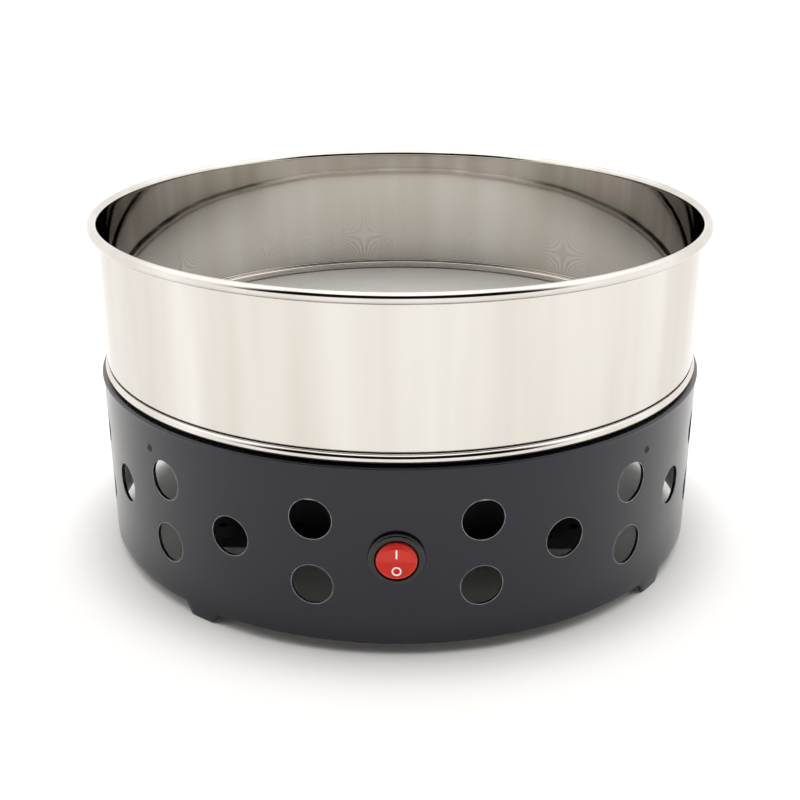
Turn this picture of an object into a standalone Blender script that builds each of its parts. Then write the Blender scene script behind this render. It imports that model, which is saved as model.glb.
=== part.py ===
"""Coffee bean cooler: a sieve tray that lifts off a round fan base.

Run it with blender --background --python part.py, or from Blender's text editor.
Units are metres and +Z is up. The origin is on the table, under the middle of the base, and the
front of the cooler, with its rocker switch, faces -Y. An azimuth is turned from the front towards +X.
"""

import math

import bmesh
import bpy
from mathutils import Matrix, Vector

MM = 0.001
GAP = 0.3 * MM  # between pieces that touch

# How finely round pieces are cut
RING_SEGMENTS = 48
SMALL_SEGMENTS = 20
VENT_SEGMENTS = 16

# Base shell
BASE_TOP_RADIUS = 135.3 * MM
BASE_TAPER = 0.3 * MM  # how much narrower the shell is at its foot
BASE_WALL = 1.5 * MM
BASE_HEIGHT = 80.8 * MM  # from the table to the top of the hem
HEM_HEIGHT = 1.3 * MM
HEM_PROUD = 0.5 * MM  # how far the hem stands out from the shell
HEM_FOLD = 0.4 * MM  # the slope on the hem's edges
EDGE_HEIGHT = 5.2 * MM  # the shell's lower edge, carried on its feet

# Feet, cut in one piece with the shell
FOOT_COUNT = 4
FOOT_AZIMUTH = math.radians(53.4)  # of the first foot
FOOT_TOP_WIDTH = 20.2 * MM
FOOT_TIP_WIDTH = 10.8 * MM

# Vents: columns of one hole and of two holes take turns round the shell
VENT_DIAMETER = 17.0 * MM
VENT_FIRST_ANGLE = math.radians(14.1)  # from the switch to the first column
VENT_STEP = math.radians(15.0)
VENT_COLUMNS = 11  # on each side of the switch
VENT_DROP = 37.2 * MM  # from the top of the hem to the middle of the vents
VENT_SPREAD = 14.1 * MM  # from the middle to the upper and to the lower holes

# Sieve tray
TRAY_HEIGHT = 148.0 * MM  # from the table to the top of the rim
TRAY_INSET = 2.3 * MM  # from the shell's outer face in to the tray's wall
TRAY_SHEET = 0.6 * MM
RIM_DIAMETER = 4.6 * MM
BEAD_DIAMETER = 4.4 * MM
BEAD_PROUD = 1.2 * MM  # how far the bead stands out from the tray's wall
SKIRT_DEPTH = 6.0 * MM  # how far the skirt reaches into the base's mouth
SIEVE_THICKNESS = 0.6 * MM
CLAMP_RING_HEIGHT = 3.2 * MM
CLAMP_RING_WIDTH = 2.4 * MM
SUPPORT_RING_HEIGHT = 1.6 * MM

# Deck that carries the fan
DECK_CLEARANCE = 1.0 * MM  # from the tray's skirt down to the deck
DECK_SHEET = 1.2 * MM
DECK_FLANGE_HEIGHT = 8.0 * MM
DECK_SCREW_AZIMUTH = math.radians(48.2)
DECK_SCREW_DROP = 4.8 * MM  # from the deck's top to its screws
DECK_SCREW_RADIUS = 1.2 * MM
DECK_SCREW_HEAD_RADIUS = 1.7 * MM
DECK_SCREW_LENGTH = 5.0 * MM

# Fan
FAN_WIDTH = 172.0 * MM
FAN_DEPTH = 51.0 * MM
FAN_CORNER_RADIUS = 12.0 * MM
FAN_SCREW_INSET = 11.0 * MM  # from the fan's side to its screws
FAN_FLANGE = 5.0 * MM
DUCT_INSET = 6.0 * MM  # from the fan's side to its duct
DUCT_WALL = 4.0 * MM
SPOKE_COUNT = 4
SPOKE_WIDTH = 8.0 * MM
SPOKE_HEIGHT = 5.0 * MM
SPOKE_AZIMUTH = math.radians(30.0)  # of the first spoke
MOTOR_SEAT_MARGIN = 1.7 * MM  # how far the seat reaches beyond the rotor cup
MOTOR_SEAT_THICKNESS = 3.0 * MM
BLADE_COUNT = 7
BLADE_THICKNESS = 2.0 * MM
BLADE_TIP_GAP = 1.4 * MM
BLADE_HUB_TURN = math.radians(36.0)
BLADE_TIP_TURN = math.radians(24.0)
HUB_HEIGHT = 34.0 * MM
HUB_CLEARANCE = 4.0 * MM  # from the motor seat up to the hub
HUB_WALL = 3.0 * MM
CUP_RADIUS = 36.3 * MM
CUP_WALL = 1.6 * MM
SHAFT_RADIUS = 3.0 * MM
BEARING_RADIUS = 8.0 * MM
BEARING_HEIGHT = 5.0 * MM
BEARING_TUBE_WALL = 1.6 * MM
MAGNET_SPACE = 3.7 * MM  # from the rotor cup in to the stator
STATOR_HEIGHT = 10.0 * MM
WINDING_HEIGHT = 5.0 * MM
WINDING_INSET = 3.0 * MM  # from the stator's edge in to its windings

# Finger guard and fan fasteners
GUARD_WIRE = 2.2 * MM
GUARD_RING_COUNT = 4
GUARD_INNER_RADIUS = 26.0 * MM
GUARD_RING_INSET = 1.0 * MM  # from the duct's bore in to the widest ring
GUARD_EYE_RADIUS = 4.6 * MM
SCREW_RADIUS = 2.0 * MM
SCREW_HEAD_RADIUS = 3.8 * MM
SCREW_HEAD_HEIGHT = 2.4 * MM
NUT_ACROSS_FLATS = 7.0 * MM
NUT_HEIGHT = 3.2 * MM

# Rocker switch
SWITCH_DROP = 37.4 * MM  # from the top of the hem to the middle of the switch
BEZEL_OVERHANG = 1.4 * MM  # how far the bezel reaches beyond the barrel
BEZEL_THICKNESS = 2.2 * MM
BARREL_RADIUS = 9.7 * MM
BARREL_LENGTH = 15.0 * MM
SWITCH_WALL = 0.75 * MM  # of the barrel, round the rocker
SWITCH_FLOOR = 3.0 * MM
ROCKER_CLEARANCE = 0.35 * MM
ROCKER_THICKNESS = 6.0 * MM
ROCKER_PIVOT_DEPTH = 1.0 * MM  # behind the bezel's face
ROCKER_FACE = 0.5 * MM  # how far the middle of the rocker stands out of the bezel
ROCKER_TILT = math.radians(9.0)  # each way from the middle
TERMINAL_SIZE = (4.8 * MM, 0.8 * MM)
TERMINAL_LENGTH = 8.0 * MM
TERMINAL_SPACING = 8.0 * MM

# Power inlet, upright on the back
INLET_BODY = (20.0 * MM, 21.0 * MM, 28.0 * MM)
INLET_WALL = 1.8 * MM  # round the socket
INLET_SOCKET_DEPTH = 17.5 * MM
INLET_FLANGE_THICKNESS = 3.0 * MM
INLET_FLANGE_SIDE = 1.0 * MM  # how far the flange reaches beyond the body on each side
INLET_FLANGE_END = 5.0 * MM  # how far the flange reaches beyond each screw
INLET_SCREW_MARGIN = 6.0 * MM  # from the body to each screw
INLET_CORNER = 4.0 * MM  # the flange's round corners and the socket's slanted ones
INLET_DECK_CLEARANCE = 0.9 * MM  # from the deck's flange down to the upper nut
INLET_PIN = (2.0 * MM, 15.0 * MM, 4.0 * MM)
INLET_PIN_TAIL = 7.0 * MM
INLET_PIN_SPACING = 14.0 * MM
INLET_EARTH_OFFSET = 4.0 * MM
INLET_SCREW_RADIUS = 1.5 * MM
INLET_SCREW_HEAD_RADIUS = 2.8 * MM
INLET_SCREW_HEAD_HEIGHT = 1.6 * MM
INLET_SCREW_LENGTH = 10.0 * MM
INLET_NUT_ACROSS_FLATS = 5.5 * MM
INLET_NUT_HEIGHT = 2.4 * MM

# Wires inside the base
WIRE_RADIUS = 1.2 * MM
WIRE_TRACK_INSET = 9.3 * MM  # from the shell's outer face in to the wires
WIRE_LEAD = 5.0 * MM  # how far a wire runs straight out of its terminal
WIRE_LONG_LEAD = 8.0 * MM  # where it first has to pass a neighbouring terminal
WIRE_SPAN = 8.0 * MM  # between the points of a wire's smooth path
WIRE_STEP = math.radians(14.0)  # between the corners of a path along the shell
FAN_WIRE_LEAD = 4.0 * MM  # straight out of the fan's terminal block
EARTH_WIRE_LEAD = 14.0 * MM
NEUTRAL_WIRE_INSET = 4.0 * MM  # further in than the wires of the track
NEUTRAL_WIRE_DROP = 14.0 * MM  # below the fan's terminal block
EARTH_WIRE_RISE = 8.0 * MM  # above the fan's terminal block
FAN_BLOCK_SIZE = (22.0 * MM, 16.0 * MM, 10.0 * MM)
FAN_BLOCK_STANDOFF = 12.0 * MM  # from the duct's outside to the block's face
FAN_BLOCK_AZIMUTH = math.radians(135.0)
FAN_TERMINAL_OFFSET = 6.0 * MM

# Worked out from the sizes above
BASE_FOOT_RADIUS = BASE_TOP_RADIUS - BASE_TAPER
TRAY_WALL_RADIUS = BASE_TOP_RADIUS - TRAY_INSET
VENT_MIDDLE = BASE_HEIGHT - VENT_DROP
SWITCH_HEIGHT = BASE_HEIGHT - SWITCH_DROP
DECK_DEPTH = SKIRT_DEPTH + DECK_CLEARANCE
DUCT_RADIUS = FAN_WIDTH / 2 - DUCT_INSET
FAN_SCREW_PITCH = FAN_WIDTH - 2 * FAN_SCREW_INSET
MOTOR_SEAT_RADIUS = CUP_RADIUS + MOTOR_SEAT_MARGIN
STATOR_RADIUS = CUP_RADIUS - CUP_WALL - MAGNET_SPACE
WINDING_RADIUS = STATOR_RADIUS - WINDING_INSET
GUARD_RING_STEP = (DUCT_RADIUS - GUARD_RING_INSET - GUARD_INNER_RADIUS) / (GUARD_RING_COUNT - 1)
GUARD_RING_RADII = [GUARD_INNER_RADIUS + i * GUARD_RING_STEP for i in range(GUARD_RING_COUNT)]
BEZEL_RADIUS = BARREL_RADIUS + BEZEL_OVERHANG
SWITCH_WELL_RADIUS = BARREL_RADIUS - SWITCH_WALL
ROCKER_RADIUS = SWITCH_WELL_RADIUS - ROCKER_CLEARANCE
WIRE_TRACK_RADIUS = BASE_TOP_RADIUS - WIRE_TRACK_INSET
BASE_MOUTH_RADIUS = TRAY_WALL_RADIUS + BEAD_PROUD - BEAD_DIAMETER / 2 + GAP
SKIRT_RADIUS = BASE_MOUTH_RADIUS - GAP
BEAD_MIDDLE = BASE_HEIGHT + GAP + BEAD_DIAMETER / 2
RIM_MIDDLE = TRAY_HEIGHT - RIM_DIAMETER / 2
SIEVE_BOTTOM = BEAD_MIDDLE - SIEVE_THICKNESS / 2
SIEVE_RADIUS = SKIRT_RADIUS - TRAY_SHEET - GAP
DECK_TOP = BASE_HEIGHT - DECK_DEPTH
DECK_BOTTOM = DECK_TOP - DECK_SHEET
FAN_TOP = DECK_BOTTOM - GAP
FAN_BOTTOM = FAN_TOP - FAN_DEPTH
FAN_BLOCK_HEIGHT = (FAN_TOP + FAN_BOTTOM) / 2
FAN_BLOCK_REACH = DUCT_RADIUS + DUCT_WALL + FAN_BLOCK_STANDOFF
HUB_BOTTOM = FAN_BOTTOM + MOTOR_SEAT_THICKNESS + HUB_CLEARANCE
HUB_TOP = HUB_BOTTOM + HUB_HEIGHT
HUB_RADIUS = CUP_RADIUS + GAP + HUB_WALL
CUP_TOP = HUB_TOP - HUB_WALL - GAP
SCREW_PLACES = [(x, y) for x in (-0.5, 0.5) for y in (-0.5, 0.5)]
INLET_SCREW_SPACING = INLET_BODY[2] + 2 * INLET_SCREW_MARGIN
INLET_FLANGE = (
    INLET_BODY[0] + 2 * INLET_FLANGE_SIDE,
    INLET_FLANGE_THICKNESS,
    INLET_SCREW_SPACING + 2 * INLET_FLANGE_END,
)
INLET_SOCKET = (INLET_BODY[0] - 2 * INLET_WALL, INLET_SOCKET_DEPTH, INLET_BODY[2] - 2 * INLET_WALL)
INLET_NUT_RADIUS = INLET_NUT_ACROSS_FLATS / math.sqrt(3)
INLET_SCREW_TOP = DECK_BOTTOM - DECK_FLANGE_HEIGHT - INLET_DECK_CLEARANCE - INLET_NUT_RADIUS
INLET_HEIGHT = INLET_SCREW_TOP - INLET_SCREW_SPACING / 2


def base_radius(height):
    """Outer radius of the shell, which narrows a little towards its foot."""
    share = height / (BASE_HEIGHT - HEM_HEIGHT)
    return BASE_FOOT_RADIUS + (BASE_TOP_RADIUS - BASE_FOOT_RADIUS) * share


def on_circle(radius, azimuth, height):
    """The point at this radius and azimuth, where azimuth 0 is the front."""
    return Vector((radius * math.sin(azimuth), -radius * math.cos(azimuth), height))


def facing(azimuth):
    """A turn that takes the front, -Y, to this azimuth."""
    return Matrix.Rotation(azimuth, 4, "Z")


# Materials

MATERIALS = {
    "polished_steel": ((0.80, 0.77, 0.72), 0.12, 1.0),
    "woven_steel": ((0.62, 0.62, 0.60), 0.35, 1.0),
    "charcoal_paint": ((0.045, 0.045, 0.049), 0.42, 0.0),
    "galvanised_steel": ((0.55, 0.56, 0.58), 0.45, 1.0),
    "black_cast": ((0.016, 0.016, 0.017), 0.50, 0.0),
    "black_plastic": ((0.020, 0.020, 0.021), 0.38, 0.0),
    "red_plastic": ((0.64, 0.040, 0.018), 0.22, 0.0),
    "zinc_plate": ((0.72, 0.72, 0.70), 0.30, 1.0),
    "dark_screw": ((0.030, 0.030, 0.032), 0.40, 1.0),
    "copper": ((0.72, 0.30, 0.14), 0.35, 1.0),
    "brass": ((0.78, 0.58, 0.26), 0.30, 1.0),
    "brown_wire": ((0.16, 0.06, 0.02), 0.45, 0.0),
    "blue_wire": ((0.02, 0.09, 0.40), 0.45, 0.0),
    "green_wire": ((0.05, 0.30, 0.06), 0.45, 0.0),
}


def material(name):
    """The named Principled material, made when it is first asked for."""
    if name in bpy.data.materials:
        return bpy.data.materials[name]
    colour, roughness, metallic = MATERIALS[name]
    made = bpy.data.materials.new(name)
    made.use_nodes = True
    shader = made.node_tree.nodes["Principled BSDF"]
    shader.inputs["Base Color"].default_value = (*colour, 1.0)
    shader.inputs["Roughness"].default_value = roughness
    shader.inputs["Metallic"].default_value = metallic
    return made


# Building blocks

def new_object(name, bm, finish):
    """Puts a bmesh into the scene as one named object, shaded smooth but for its sharp edges."""
    bmesh.ops.recalc_face_normals(bm, faces=bm.faces)
    mesh = bpy.data.meshes.new(name)
    bm.to_mesh(mesh)
    bm.free()
    mesh.shade_smooth()
    mesh.set_sharp_from_angle(angle=math.radians(35))
    mesh.materials.append(material(finish))
    made = bpy.data.objects.new(name, mesh)
    bpy.context.scene.collection.objects.link(made)
    return made


def copy_of(source, name, place):
    """Another object with the same mesh, placed by a matrix."""
    made = bpy.data.objects.new(name, source.data)
    made.matrix_world = place
    bpy.context.scene.collection.objects.link(made)
    return made


def spin_outline(bm, outline, closed, segments):
    """Turns an outline of (radius, height) points round Z."""
    corners = [bm.verts.new((r, 0.0, z)) for r, z in outline]
    edges = [bm.edges.new(pair) for pair in zip(corners, corners[1:])]
    if closed:
        edges.append(bm.edges.new((corners[-1], corners[0])))
    bmesh.ops.spin(
        bm,
        geom=corners + edges,
        cent=(0, 0, 0),
        axis=(0, 0, 1),
        angle=2 * math.pi,
        steps=segments,
        use_merge=True,
    )
    bmesh.ops.remove_doubles(bm, verts=bm.verts, dist=0.001 * MM)


def ring(name, outline, finish, segments=RING_SEGMENTS):
    """A ring: a closed outline, clear of the axis, turned round Z."""
    bm = bmesh.new()
    spin_outline(bm, outline, True, segments)
    return new_object(name, bm, finish)


def turning(name, outline, finish, segments=SMALL_SEGMENTS):
    """A turned solid: an outline that starts and ends on the axis, turned round Z."""
    bm = bmesh.new()
    spin_outline(bm, outline, False, segments)
    return new_object(name, bm, finish)


def rectangle(inner, outer, low, high):
    """The closed outline of a plain ring's section."""
    return [(outer, high), (outer, low), (inner, low), (inner, high)]


def add_box(bm, size, middle, turn=None):
    """Adds a box to a bmesh, by its size and its middle."""
    place = (turn or Matrix.Identity(4)) @ Matrix.Translation(middle)
    bmesh.ops.create_cube(bm, size=1.0, matrix=place @ Matrix.Diagonal((*size, 1.0)))


def add_rod(bm, radius, start, end, segments):
    """Adds a round rod between two points to a bmesh."""
    start, end = Vector(start), Vector(end)
    along = end - start
    turn = along.to_track_quat("Z", "Y").to_matrix().to_4x4()
    bmesh.ops.create_cone(
        bm,
        cap_ends=True,
        segments=segments,
        radius1=radius,
        radius2=radius,
        depth=along.length,
        matrix=Matrix.Translation((start + end) / 2) @ turn,
    )


def tool(name, bm):
    """A guide object that only cuts or joins another one."""
    made = new_object(name, bm, "black_cast")
    made.hide_render = True
    made.display_type = "WIRE"
    return made


def combine(target, helper, operation):
    """Cuts a tool from an object, or joins it on."""
    step = target.modifiers.new(helper.name, "BOOLEAN")
    step.operation = operation
    step.solver = "EXACT"
    step.object = helper


def cut(target, helper):
    combine(target, helper, "DIFFERENCE")


def join(target, helper):
    combine(target, helper, "UNION")


def arc(centre, radius, start, end, steps):
    """Points on an arc of an outline; angles in degrees, 0 is outwards and 90 is up."""
    points = []
    for i in range(steps + 1):
        angle = math.radians(start + (end - start) * i / steps)
        points.append((centre[0] + radius * math.cos(angle), centre[1] + radius * math.sin(angle)))
    return points


def sheet_outline(path, thickness):
    """The closed outline of a bent sheet whose middle follows a path of (radius, height) points."""
    left, right = [], []
    for i, point in enumerate(path):
        before = Vector(path[max(i - 1, 0)])
        after = Vector(path[min(i + 1, len(path) - 1)])
        here = Vector(point)
        arriving = (here - before).normalized() if i else (after - here).normalized()
        leaving = (after - here).normalized() if i < len(path) - 1 else arriving
        normal = Vector((-(arriving + leaving).y, (arriving + leaving).x)).normalized()
        reach = thickness / 2 / max(normal.dot(Vector((-arriving.y, arriving.x))), 0.5)
        left.append(tuple(here + normal * reach))
        right.append(tuple(here - normal * reach))
    return left + right[::-1]


# Sieve tray

def build_tray():
    """One sheet, from the curled rim down the wall, round the bead and down the skirt."""
    half = TRAY_SHEET / 2
    wall = TRAY_WALL_RADIUS - half
    rim = RIM_DIAMETER / 2 - half
    bead = BEAD_DIAMETER / 2 - half
    bead_centre = (TRAY_WALL_RADIUS + BEAD_PROUD - BEAD_DIAMETER / 2, BEAD_MIDDLE)
    path = arc((wall + rim, RIM_MIDDLE), rim, -110, 180, 9)
    path.append((wall, BEAD_MIDDLE + bead + 1.6 * MM))
    path += arc(bead_centre, bead, 90, -90, 6)
    path.append((SKIRT_RADIUS - half, BEAD_MIDDLE - bead - 0.8 * MM))
    path.append((SKIRT_RADIUS - half, BASE_HEIGHT - SKIRT_DEPTH))
    ring("tray_wall", sheet_outline(path, TRAY_SHEET), "polished_steel")

    outer = SKIRT_RADIUS - TRAY_SHEET - GAP
    clamp_low = SIEVE_BOTTOM + SIEVE_THICKNESS + GAP
    chamfer = CLAMP_RING_WIDTH / 3
    clamp = [
        (outer, clamp_low + CLAMP_RING_HEIGHT),
        (outer, clamp_low),
        (outer - CLAMP_RING_WIDTH + chamfer, clamp_low),
        (outer - CLAMP_RING_WIDTH, clamp_low + chamfer),
        (outer - CLAMP_RING_WIDTH, clamp_low + CLAMP_RING_HEIGHT - chamfer),
        (outer - CLAMP_RING_WIDTH + chamfer, clamp_low + CLAMP_RING_HEIGHT),
    ]
    ring("mesh_clamp_ring", clamp, "polished_steel")
    support_high = SIEVE_BOTTOM - GAP
    support = rectangle(
        outer - CLAMP_RING_WIDTH, outer, support_high - SUPPORT_RING_HEIGHT, support_high
    )
    ring("mesh_support_ring", support, "polished_steel")
    sieve = [
        (0, SIEVE_BOTTOM + SIEVE_THICKNESS),
        (SIEVE_RADIUS, SIEVE_BOTTOM + SIEVE_THICKNESS),
        (SIEVE_RADIUS, SIEVE_BOTTOM),
        (0, SIEVE_BOTTOM),
    ]
    turning("sieve_mesh", sieve, "woven_steel", RING_SEGMENTS)


# Base shell

def vent_places():
    """(azimuth, height) of each vent, on both sides of the switch."""
    places = []
    for column in range(VENT_COLUMNS):
        azimuth = VENT_FIRST_ANGLE + column * VENT_STEP
        heights = [VENT_MIDDLE - VENT_SPREAD, VENT_MIDDLE + VENT_SPREAD]
        if column % 2:
            heights = [VENT_MIDDLE]
        places += [(side * azimuth, height) for side in (-1, 1) for height in heights]
    return places


def deck_screw_azimuths():
    front = DECK_SCREW_AZIMUTH
    return [-front, front, math.pi - front, math.pi + front]


def foot_gap_tool():
    """Rings of arc that clear the wall between the feet, with sloping ends that shape the feet."""
    bm = bmesh.new()
    inner = BASE_FOOT_RADIUS - 4 * BASE_WALL
    outer = BASE_FOOT_RADIUS + 2 * BASE_WALL
    tip = FOOT_TIP_WIDTH / 2 / BASE_FOOT_RADIUS
    top = FOOT_TOP_WIDTH / 2 / BASE_FOOT_RADIUS
    below = -EDGE_HEIGHT
    gap = 2 * math.pi / FOOT_COUNT
    steps = RING_SEGMENTS // FOOT_COUNT
    overrun = 0.2  # share of the slope by which it is carried on under the table
    corner = 0.86  # share of the edge's height where the foot's side bends into the edge
    slope = (top - tip) * overrun
    for foot in range(FOOT_COUNT):
        start = FOOT_AZIMUTH + foot * gap
        columns = [(start + tip - slope, -overrun * EDGE_HEIGHT)]
        columns.append((start + top - slope, corner * EDGE_HEIGHT))
        flat = gap - 2 * top
        columns += [(start + top + flat * i / steps, EDGE_HEIGHT) for i in range(steps + 1)]
        columns.append((start + gap - top + slope, corner * EDGE_HEIGHT))
        columns.append((start + gap - tip + slope, -overrun * EDGE_HEIGHT))
        rows = []
        for azimuth, height in columns:
            rows.append([
                bm.verts.new(on_circle(inner, azimuth, below)),
                bm.verts.new(on_circle(outer, azimuth, below)),
                bm.verts.new(on_circle(outer, azimuth, height)),
                bm.verts.new(on_circle(inner, azimuth, height)),
            ])
        for first, second in zip(rows, rows[1:]):
            for k in range(4):
                bm.faces.new((first[k], first[(k + 1) % 4], second[(k + 1) % 4], second[k]))
        bm.faces.new(rows[0])
        bm.faces.new(rows[-1][::-1])
    return tool("foot_gap_tool", bm)


def build_base():
    hem_low = BASE_HEIGHT - HEM_HEIGHT
    hem_radius = BASE_TOP_RADIUS + HEM_PROUD
    fold = HEM_FOLD
    outline = [
        (BASE_FOOT_RADIUS, 0),
        (BASE_TOP_RADIUS, hem_low),
        (hem_radius, hem_low + fold),
        (hem_radius, BASE_HEIGHT - fold),
        (hem_radius - fold, BASE_HEIGHT),
        (BASE_MOUTH_RADIUS, BASE_HEIGHT),
        (BASE_MOUTH_RADIUS, BASE_HEIGHT - BASE_WALL),
        (BASE_TOP_RADIUS - BASE_WALL, BASE_HEIGHT - BASE_WALL),
        (BASE_FOOT_RADIUS - BASE_WALL, 0),
    ]
    shell = ring("base_shell", outline, "charcoal_paint")
    cut(shell, foot_gap_tool())

    bm = bmesh.new()
    inner, outer = BASE_FOOT_RADIUS - 5 * BASE_WALL, BASE_TOP_RADIUS + 3 * BASE_WALL
    for azimuth, height in vent_places():
        add_rod(
            bm, VENT_DIAMETER / 2,
            on_circle(inner, azimuth, height), on_circle(outer, azimuth, height), VENT_SEGMENTS,
        )
    switch_hole = BARREL_RADIUS + GAP
    add_rod(
        bm, switch_hole,
        on_circle(inner, 0, SWITCH_HEIGHT), on_circle(outer, 0, SWITCH_HEIGHT), SMALL_SEGMENTS,
    )
    screw_height = DECK_TOP - DECK_SCREW_DROP
    for azimuth in deck_screw_azimuths():
        add_rod(
            bm, DECK_SCREW_HEAD_RADIUS + GAP,
            on_circle(inner, azimuth, screw_height), on_circle(outer, azimuth, screw_height), 12,
        )
    middle = (0, (inner + outer) / 2, INLET_HEIGHT)
    body = (INLET_BODY[0] + 2 * GAP, outer - inner, INLET_BODY[2] + 2 * GAP)
    add_box(bm, body, middle)
    for side in (-0.5, 0.5):
        height = INLET_HEIGHT + side * INLET_SCREW_SPACING
        add_rod(bm, INLET_SCREW_RADIUS + GAP, (0, inner, height), (0, outer, height), 12)
    cut(shell, tool("base_hole_tool", bm))


def build_deck():
    flange = base_radius(DECK_BOTTOM - DECK_FLANGE_HEIGHT) - BASE_WALL - GAP
    outline = [
        (flange, DECK_TOP),
        (flange, DECK_BOTTOM - DECK_FLANGE_HEIGHT),
        (flange - DECK_SHEET, DECK_BOTTOM - DECK_FLANGE_HEIGHT),
        (flange - DECK_SHEET, DECK_BOTTOM),
        (DUCT_RADIUS, DECK_BOTTOM),
        (DUCT_RADIUS, DECK_TOP),
    ]
    deck = ring("deck_plate", outline, "galvanised_steel")
    bm = bmesh.new()
    for x, y in SCREW_PLACES:
        place = (x * FAN_SCREW_PITCH, y * FAN_SCREW_PITCH)
        add_rod(
            bm, SCREW_RADIUS + GAP,
            (*place, DECK_BOTTOM - DECK_SHEET), (*place, DECK_TOP + DECK_SHEET), 12,
        )
    screw_height = DECK_TOP - DECK_SCREW_DROP
    for azimuth in deck_screw_azimuths():
        add_rod(
            bm, DECK_SCREW_RADIUS + GAP,
            on_circle(flange - 2 * DECK_SHEET, azimuth, screw_height),
            on_circle(flange + DECK_SHEET, azimuth, screw_height), 12,
        )
    cut(deck, tool("deck_hole_tool", bm))

    head = DECK_SCREW_HEAD_RADIUS
    outline = [
        (0, 0), (head, 0), (head, -0.3 * MM), (DECK_SCREW_RADIUS, -0.9 * MM),
        (DECK_SCREW_RADIUS, -DECK_SCREW_LENGTH), (0, -DECK_SCREW_LENGTH),
    ]
    turn_out = Matrix.Rotation(math.radians(90), 4, "X")
    first = None
    for number, azimuth in enumerate(deck_screw_azimuths(), 1):
        spot = on_circle(base_radius(screw_height), azimuth, screw_height)
        place = Matrix.Translation(spot) @ facing(azimuth) @ turn_out
        if first is None:
            first = turning("deck_screw_1", outline, "dark_screw", 12)
            first.matrix_world = place
        else:
            copy_of(first, f"deck_screw_{number}", place)


# Fan

def rounded_square(width, radius, steps=4):
    """Corner points of a square with round corners, as (x, y)."""
    reach = width / 2 - radius
    points = []
    for quarter in range(4):
        angle = quarter * math.pi / 2
        corner = Vector((reach, reach))
        corner.rotate(Matrix.Rotation(angle, 2))
        points += arc(corner, radius, math.degrees(angle), math.degrees(angle) + 90, steps)
    return points


def add_plate(bm, outline, low, high):
    """Adds a flat plate of this outline to a bmesh."""
    floor = bm.faces.new([bm.verts.new((x, y, low)) for x, y in outline])
    grown = bmesh.ops.extrude_face_region(bm, geom=[floor], use_keep_orig=True)["geom"]
    corners = [item for item in grown if isinstance(item, bmesh.types.BMVert)]
    bmesh.ops.translate(bm, verts=corners, vec=(0, 0, high - low))


def build_fan_frame():
    half = FAN_FLANGE / 2
    duct = DUCT_RADIUS + DUCT_WALL
    outline = [(0, FAN_TOP - half), (duct, FAN_TOP - half), (duct, FAN_BOTTOM + half), (0, FAN_BOTTOM + half)]
    frame = turning("fan_frame", outline, "black_cast", RING_SEGMENTS)

    bm = bmesh.new()
    square = rounded_square(FAN_WIDTH, FAN_CORNER_RADIUS)
    add_plate(bm, square, FAN_BOTTOM, FAN_BOTTOM + FAN_FLANGE)
    add_plate(bm, square, FAN_TOP - FAN_FLANGE, FAN_TOP)
    join(frame, tool("fan_flange_tool", bm))
    bm = bmesh.new()
    add_rod(bm, DUCT_RADIUS, (0, 0, FAN_BOTTOM - MM), (0, 0, FAN_TOP + MM), RING_SEGMENTS)
    cut(frame, tool("fan_bore_tool", bm))

    bm = bmesh.new()
    add_box(
        bm, FAN_BLOCK_SIZE,
        (0, -(FAN_BLOCK_REACH - FAN_BLOCK_SIZE[1] / 2), FAN_BLOCK_HEIGHT), facing(-FAN_BLOCK_AZIMUTH),
    )
    reach = DUCT_RADIUS + DUCT_WALL / 2
    start = MOTOR_SEAT_RADIUS - 4 * MM
    for spoke in range(SPOKE_COUNT):
        turn = facing(SPOKE_AZIMUTH + 2 * math.pi * spoke / SPOKE_COUNT)
        size = (SPOKE_WIDTH, reach - start, SPOKE_HEIGHT)
        add_box(bm, size, (0, -(reach + start) / 2, FAN_BOTTOM + SPOKE_HEIGHT / 2), turn)
    join(frame, tool("fan_spoke_tool", bm))

    bore = BEARING_RADIUS + GAP
    tube = bore + BEARING_TUBE_WALL
    seat_top = FAN_BOTTOM + MOTOR_SEAT_THICKNESS
    tube_top = CUP_TOP - CUP_WALL - 2 * MM
    bm = bmesh.new()
    seat = [
        (MOTOR_SEAT_RADIUS, seat_top), (MOTOR_SEAT_RADIUS, FAN_BOTTOM), (bore, FAN_BOTTOM),
        (bore, tube_top), (tube, tube_top), (tube, seat_top),
    ]
    spin_outline(bm, seat, True, RING_SEGMENTS)
    join(frame, tool("fan_seat_tool", bm))

    bm = bmesh.new()
    for x, y in SCREW_PLACES:
        place = (x * FAN_SCREW_PITCH, y * FAN_SCREW_PITCH)
        add_rod(bm, SCREW_RADIUS + GAP, (*place, FAN_BOTTOM - MM), (*place, FAN_TOP + MM), 12)
    cut(frame, tool("fan_hole_tool", bm))

    turn = facing(-FAN_BLOCK_AZIMUTH)
    for number, side in enumerate((-1, 1), 1):
        bm = bmesh.new()
        low = FAN_BLOCK_REACH + GAP
        size = (TERMINAL_SIZE[0], TERMINAL_LENGTH, TERMINAL_SIZE[1])
        middle = (side * FAN_TERMINAL_OFFSET, -(low + TERMINAL_LENGTH / 2), FAN_BLOCK_HEIGHT)
        add_box(bm, size, middle, turn)
        new_object(f"fan_terminal_{number}", bm, "brass")


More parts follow.
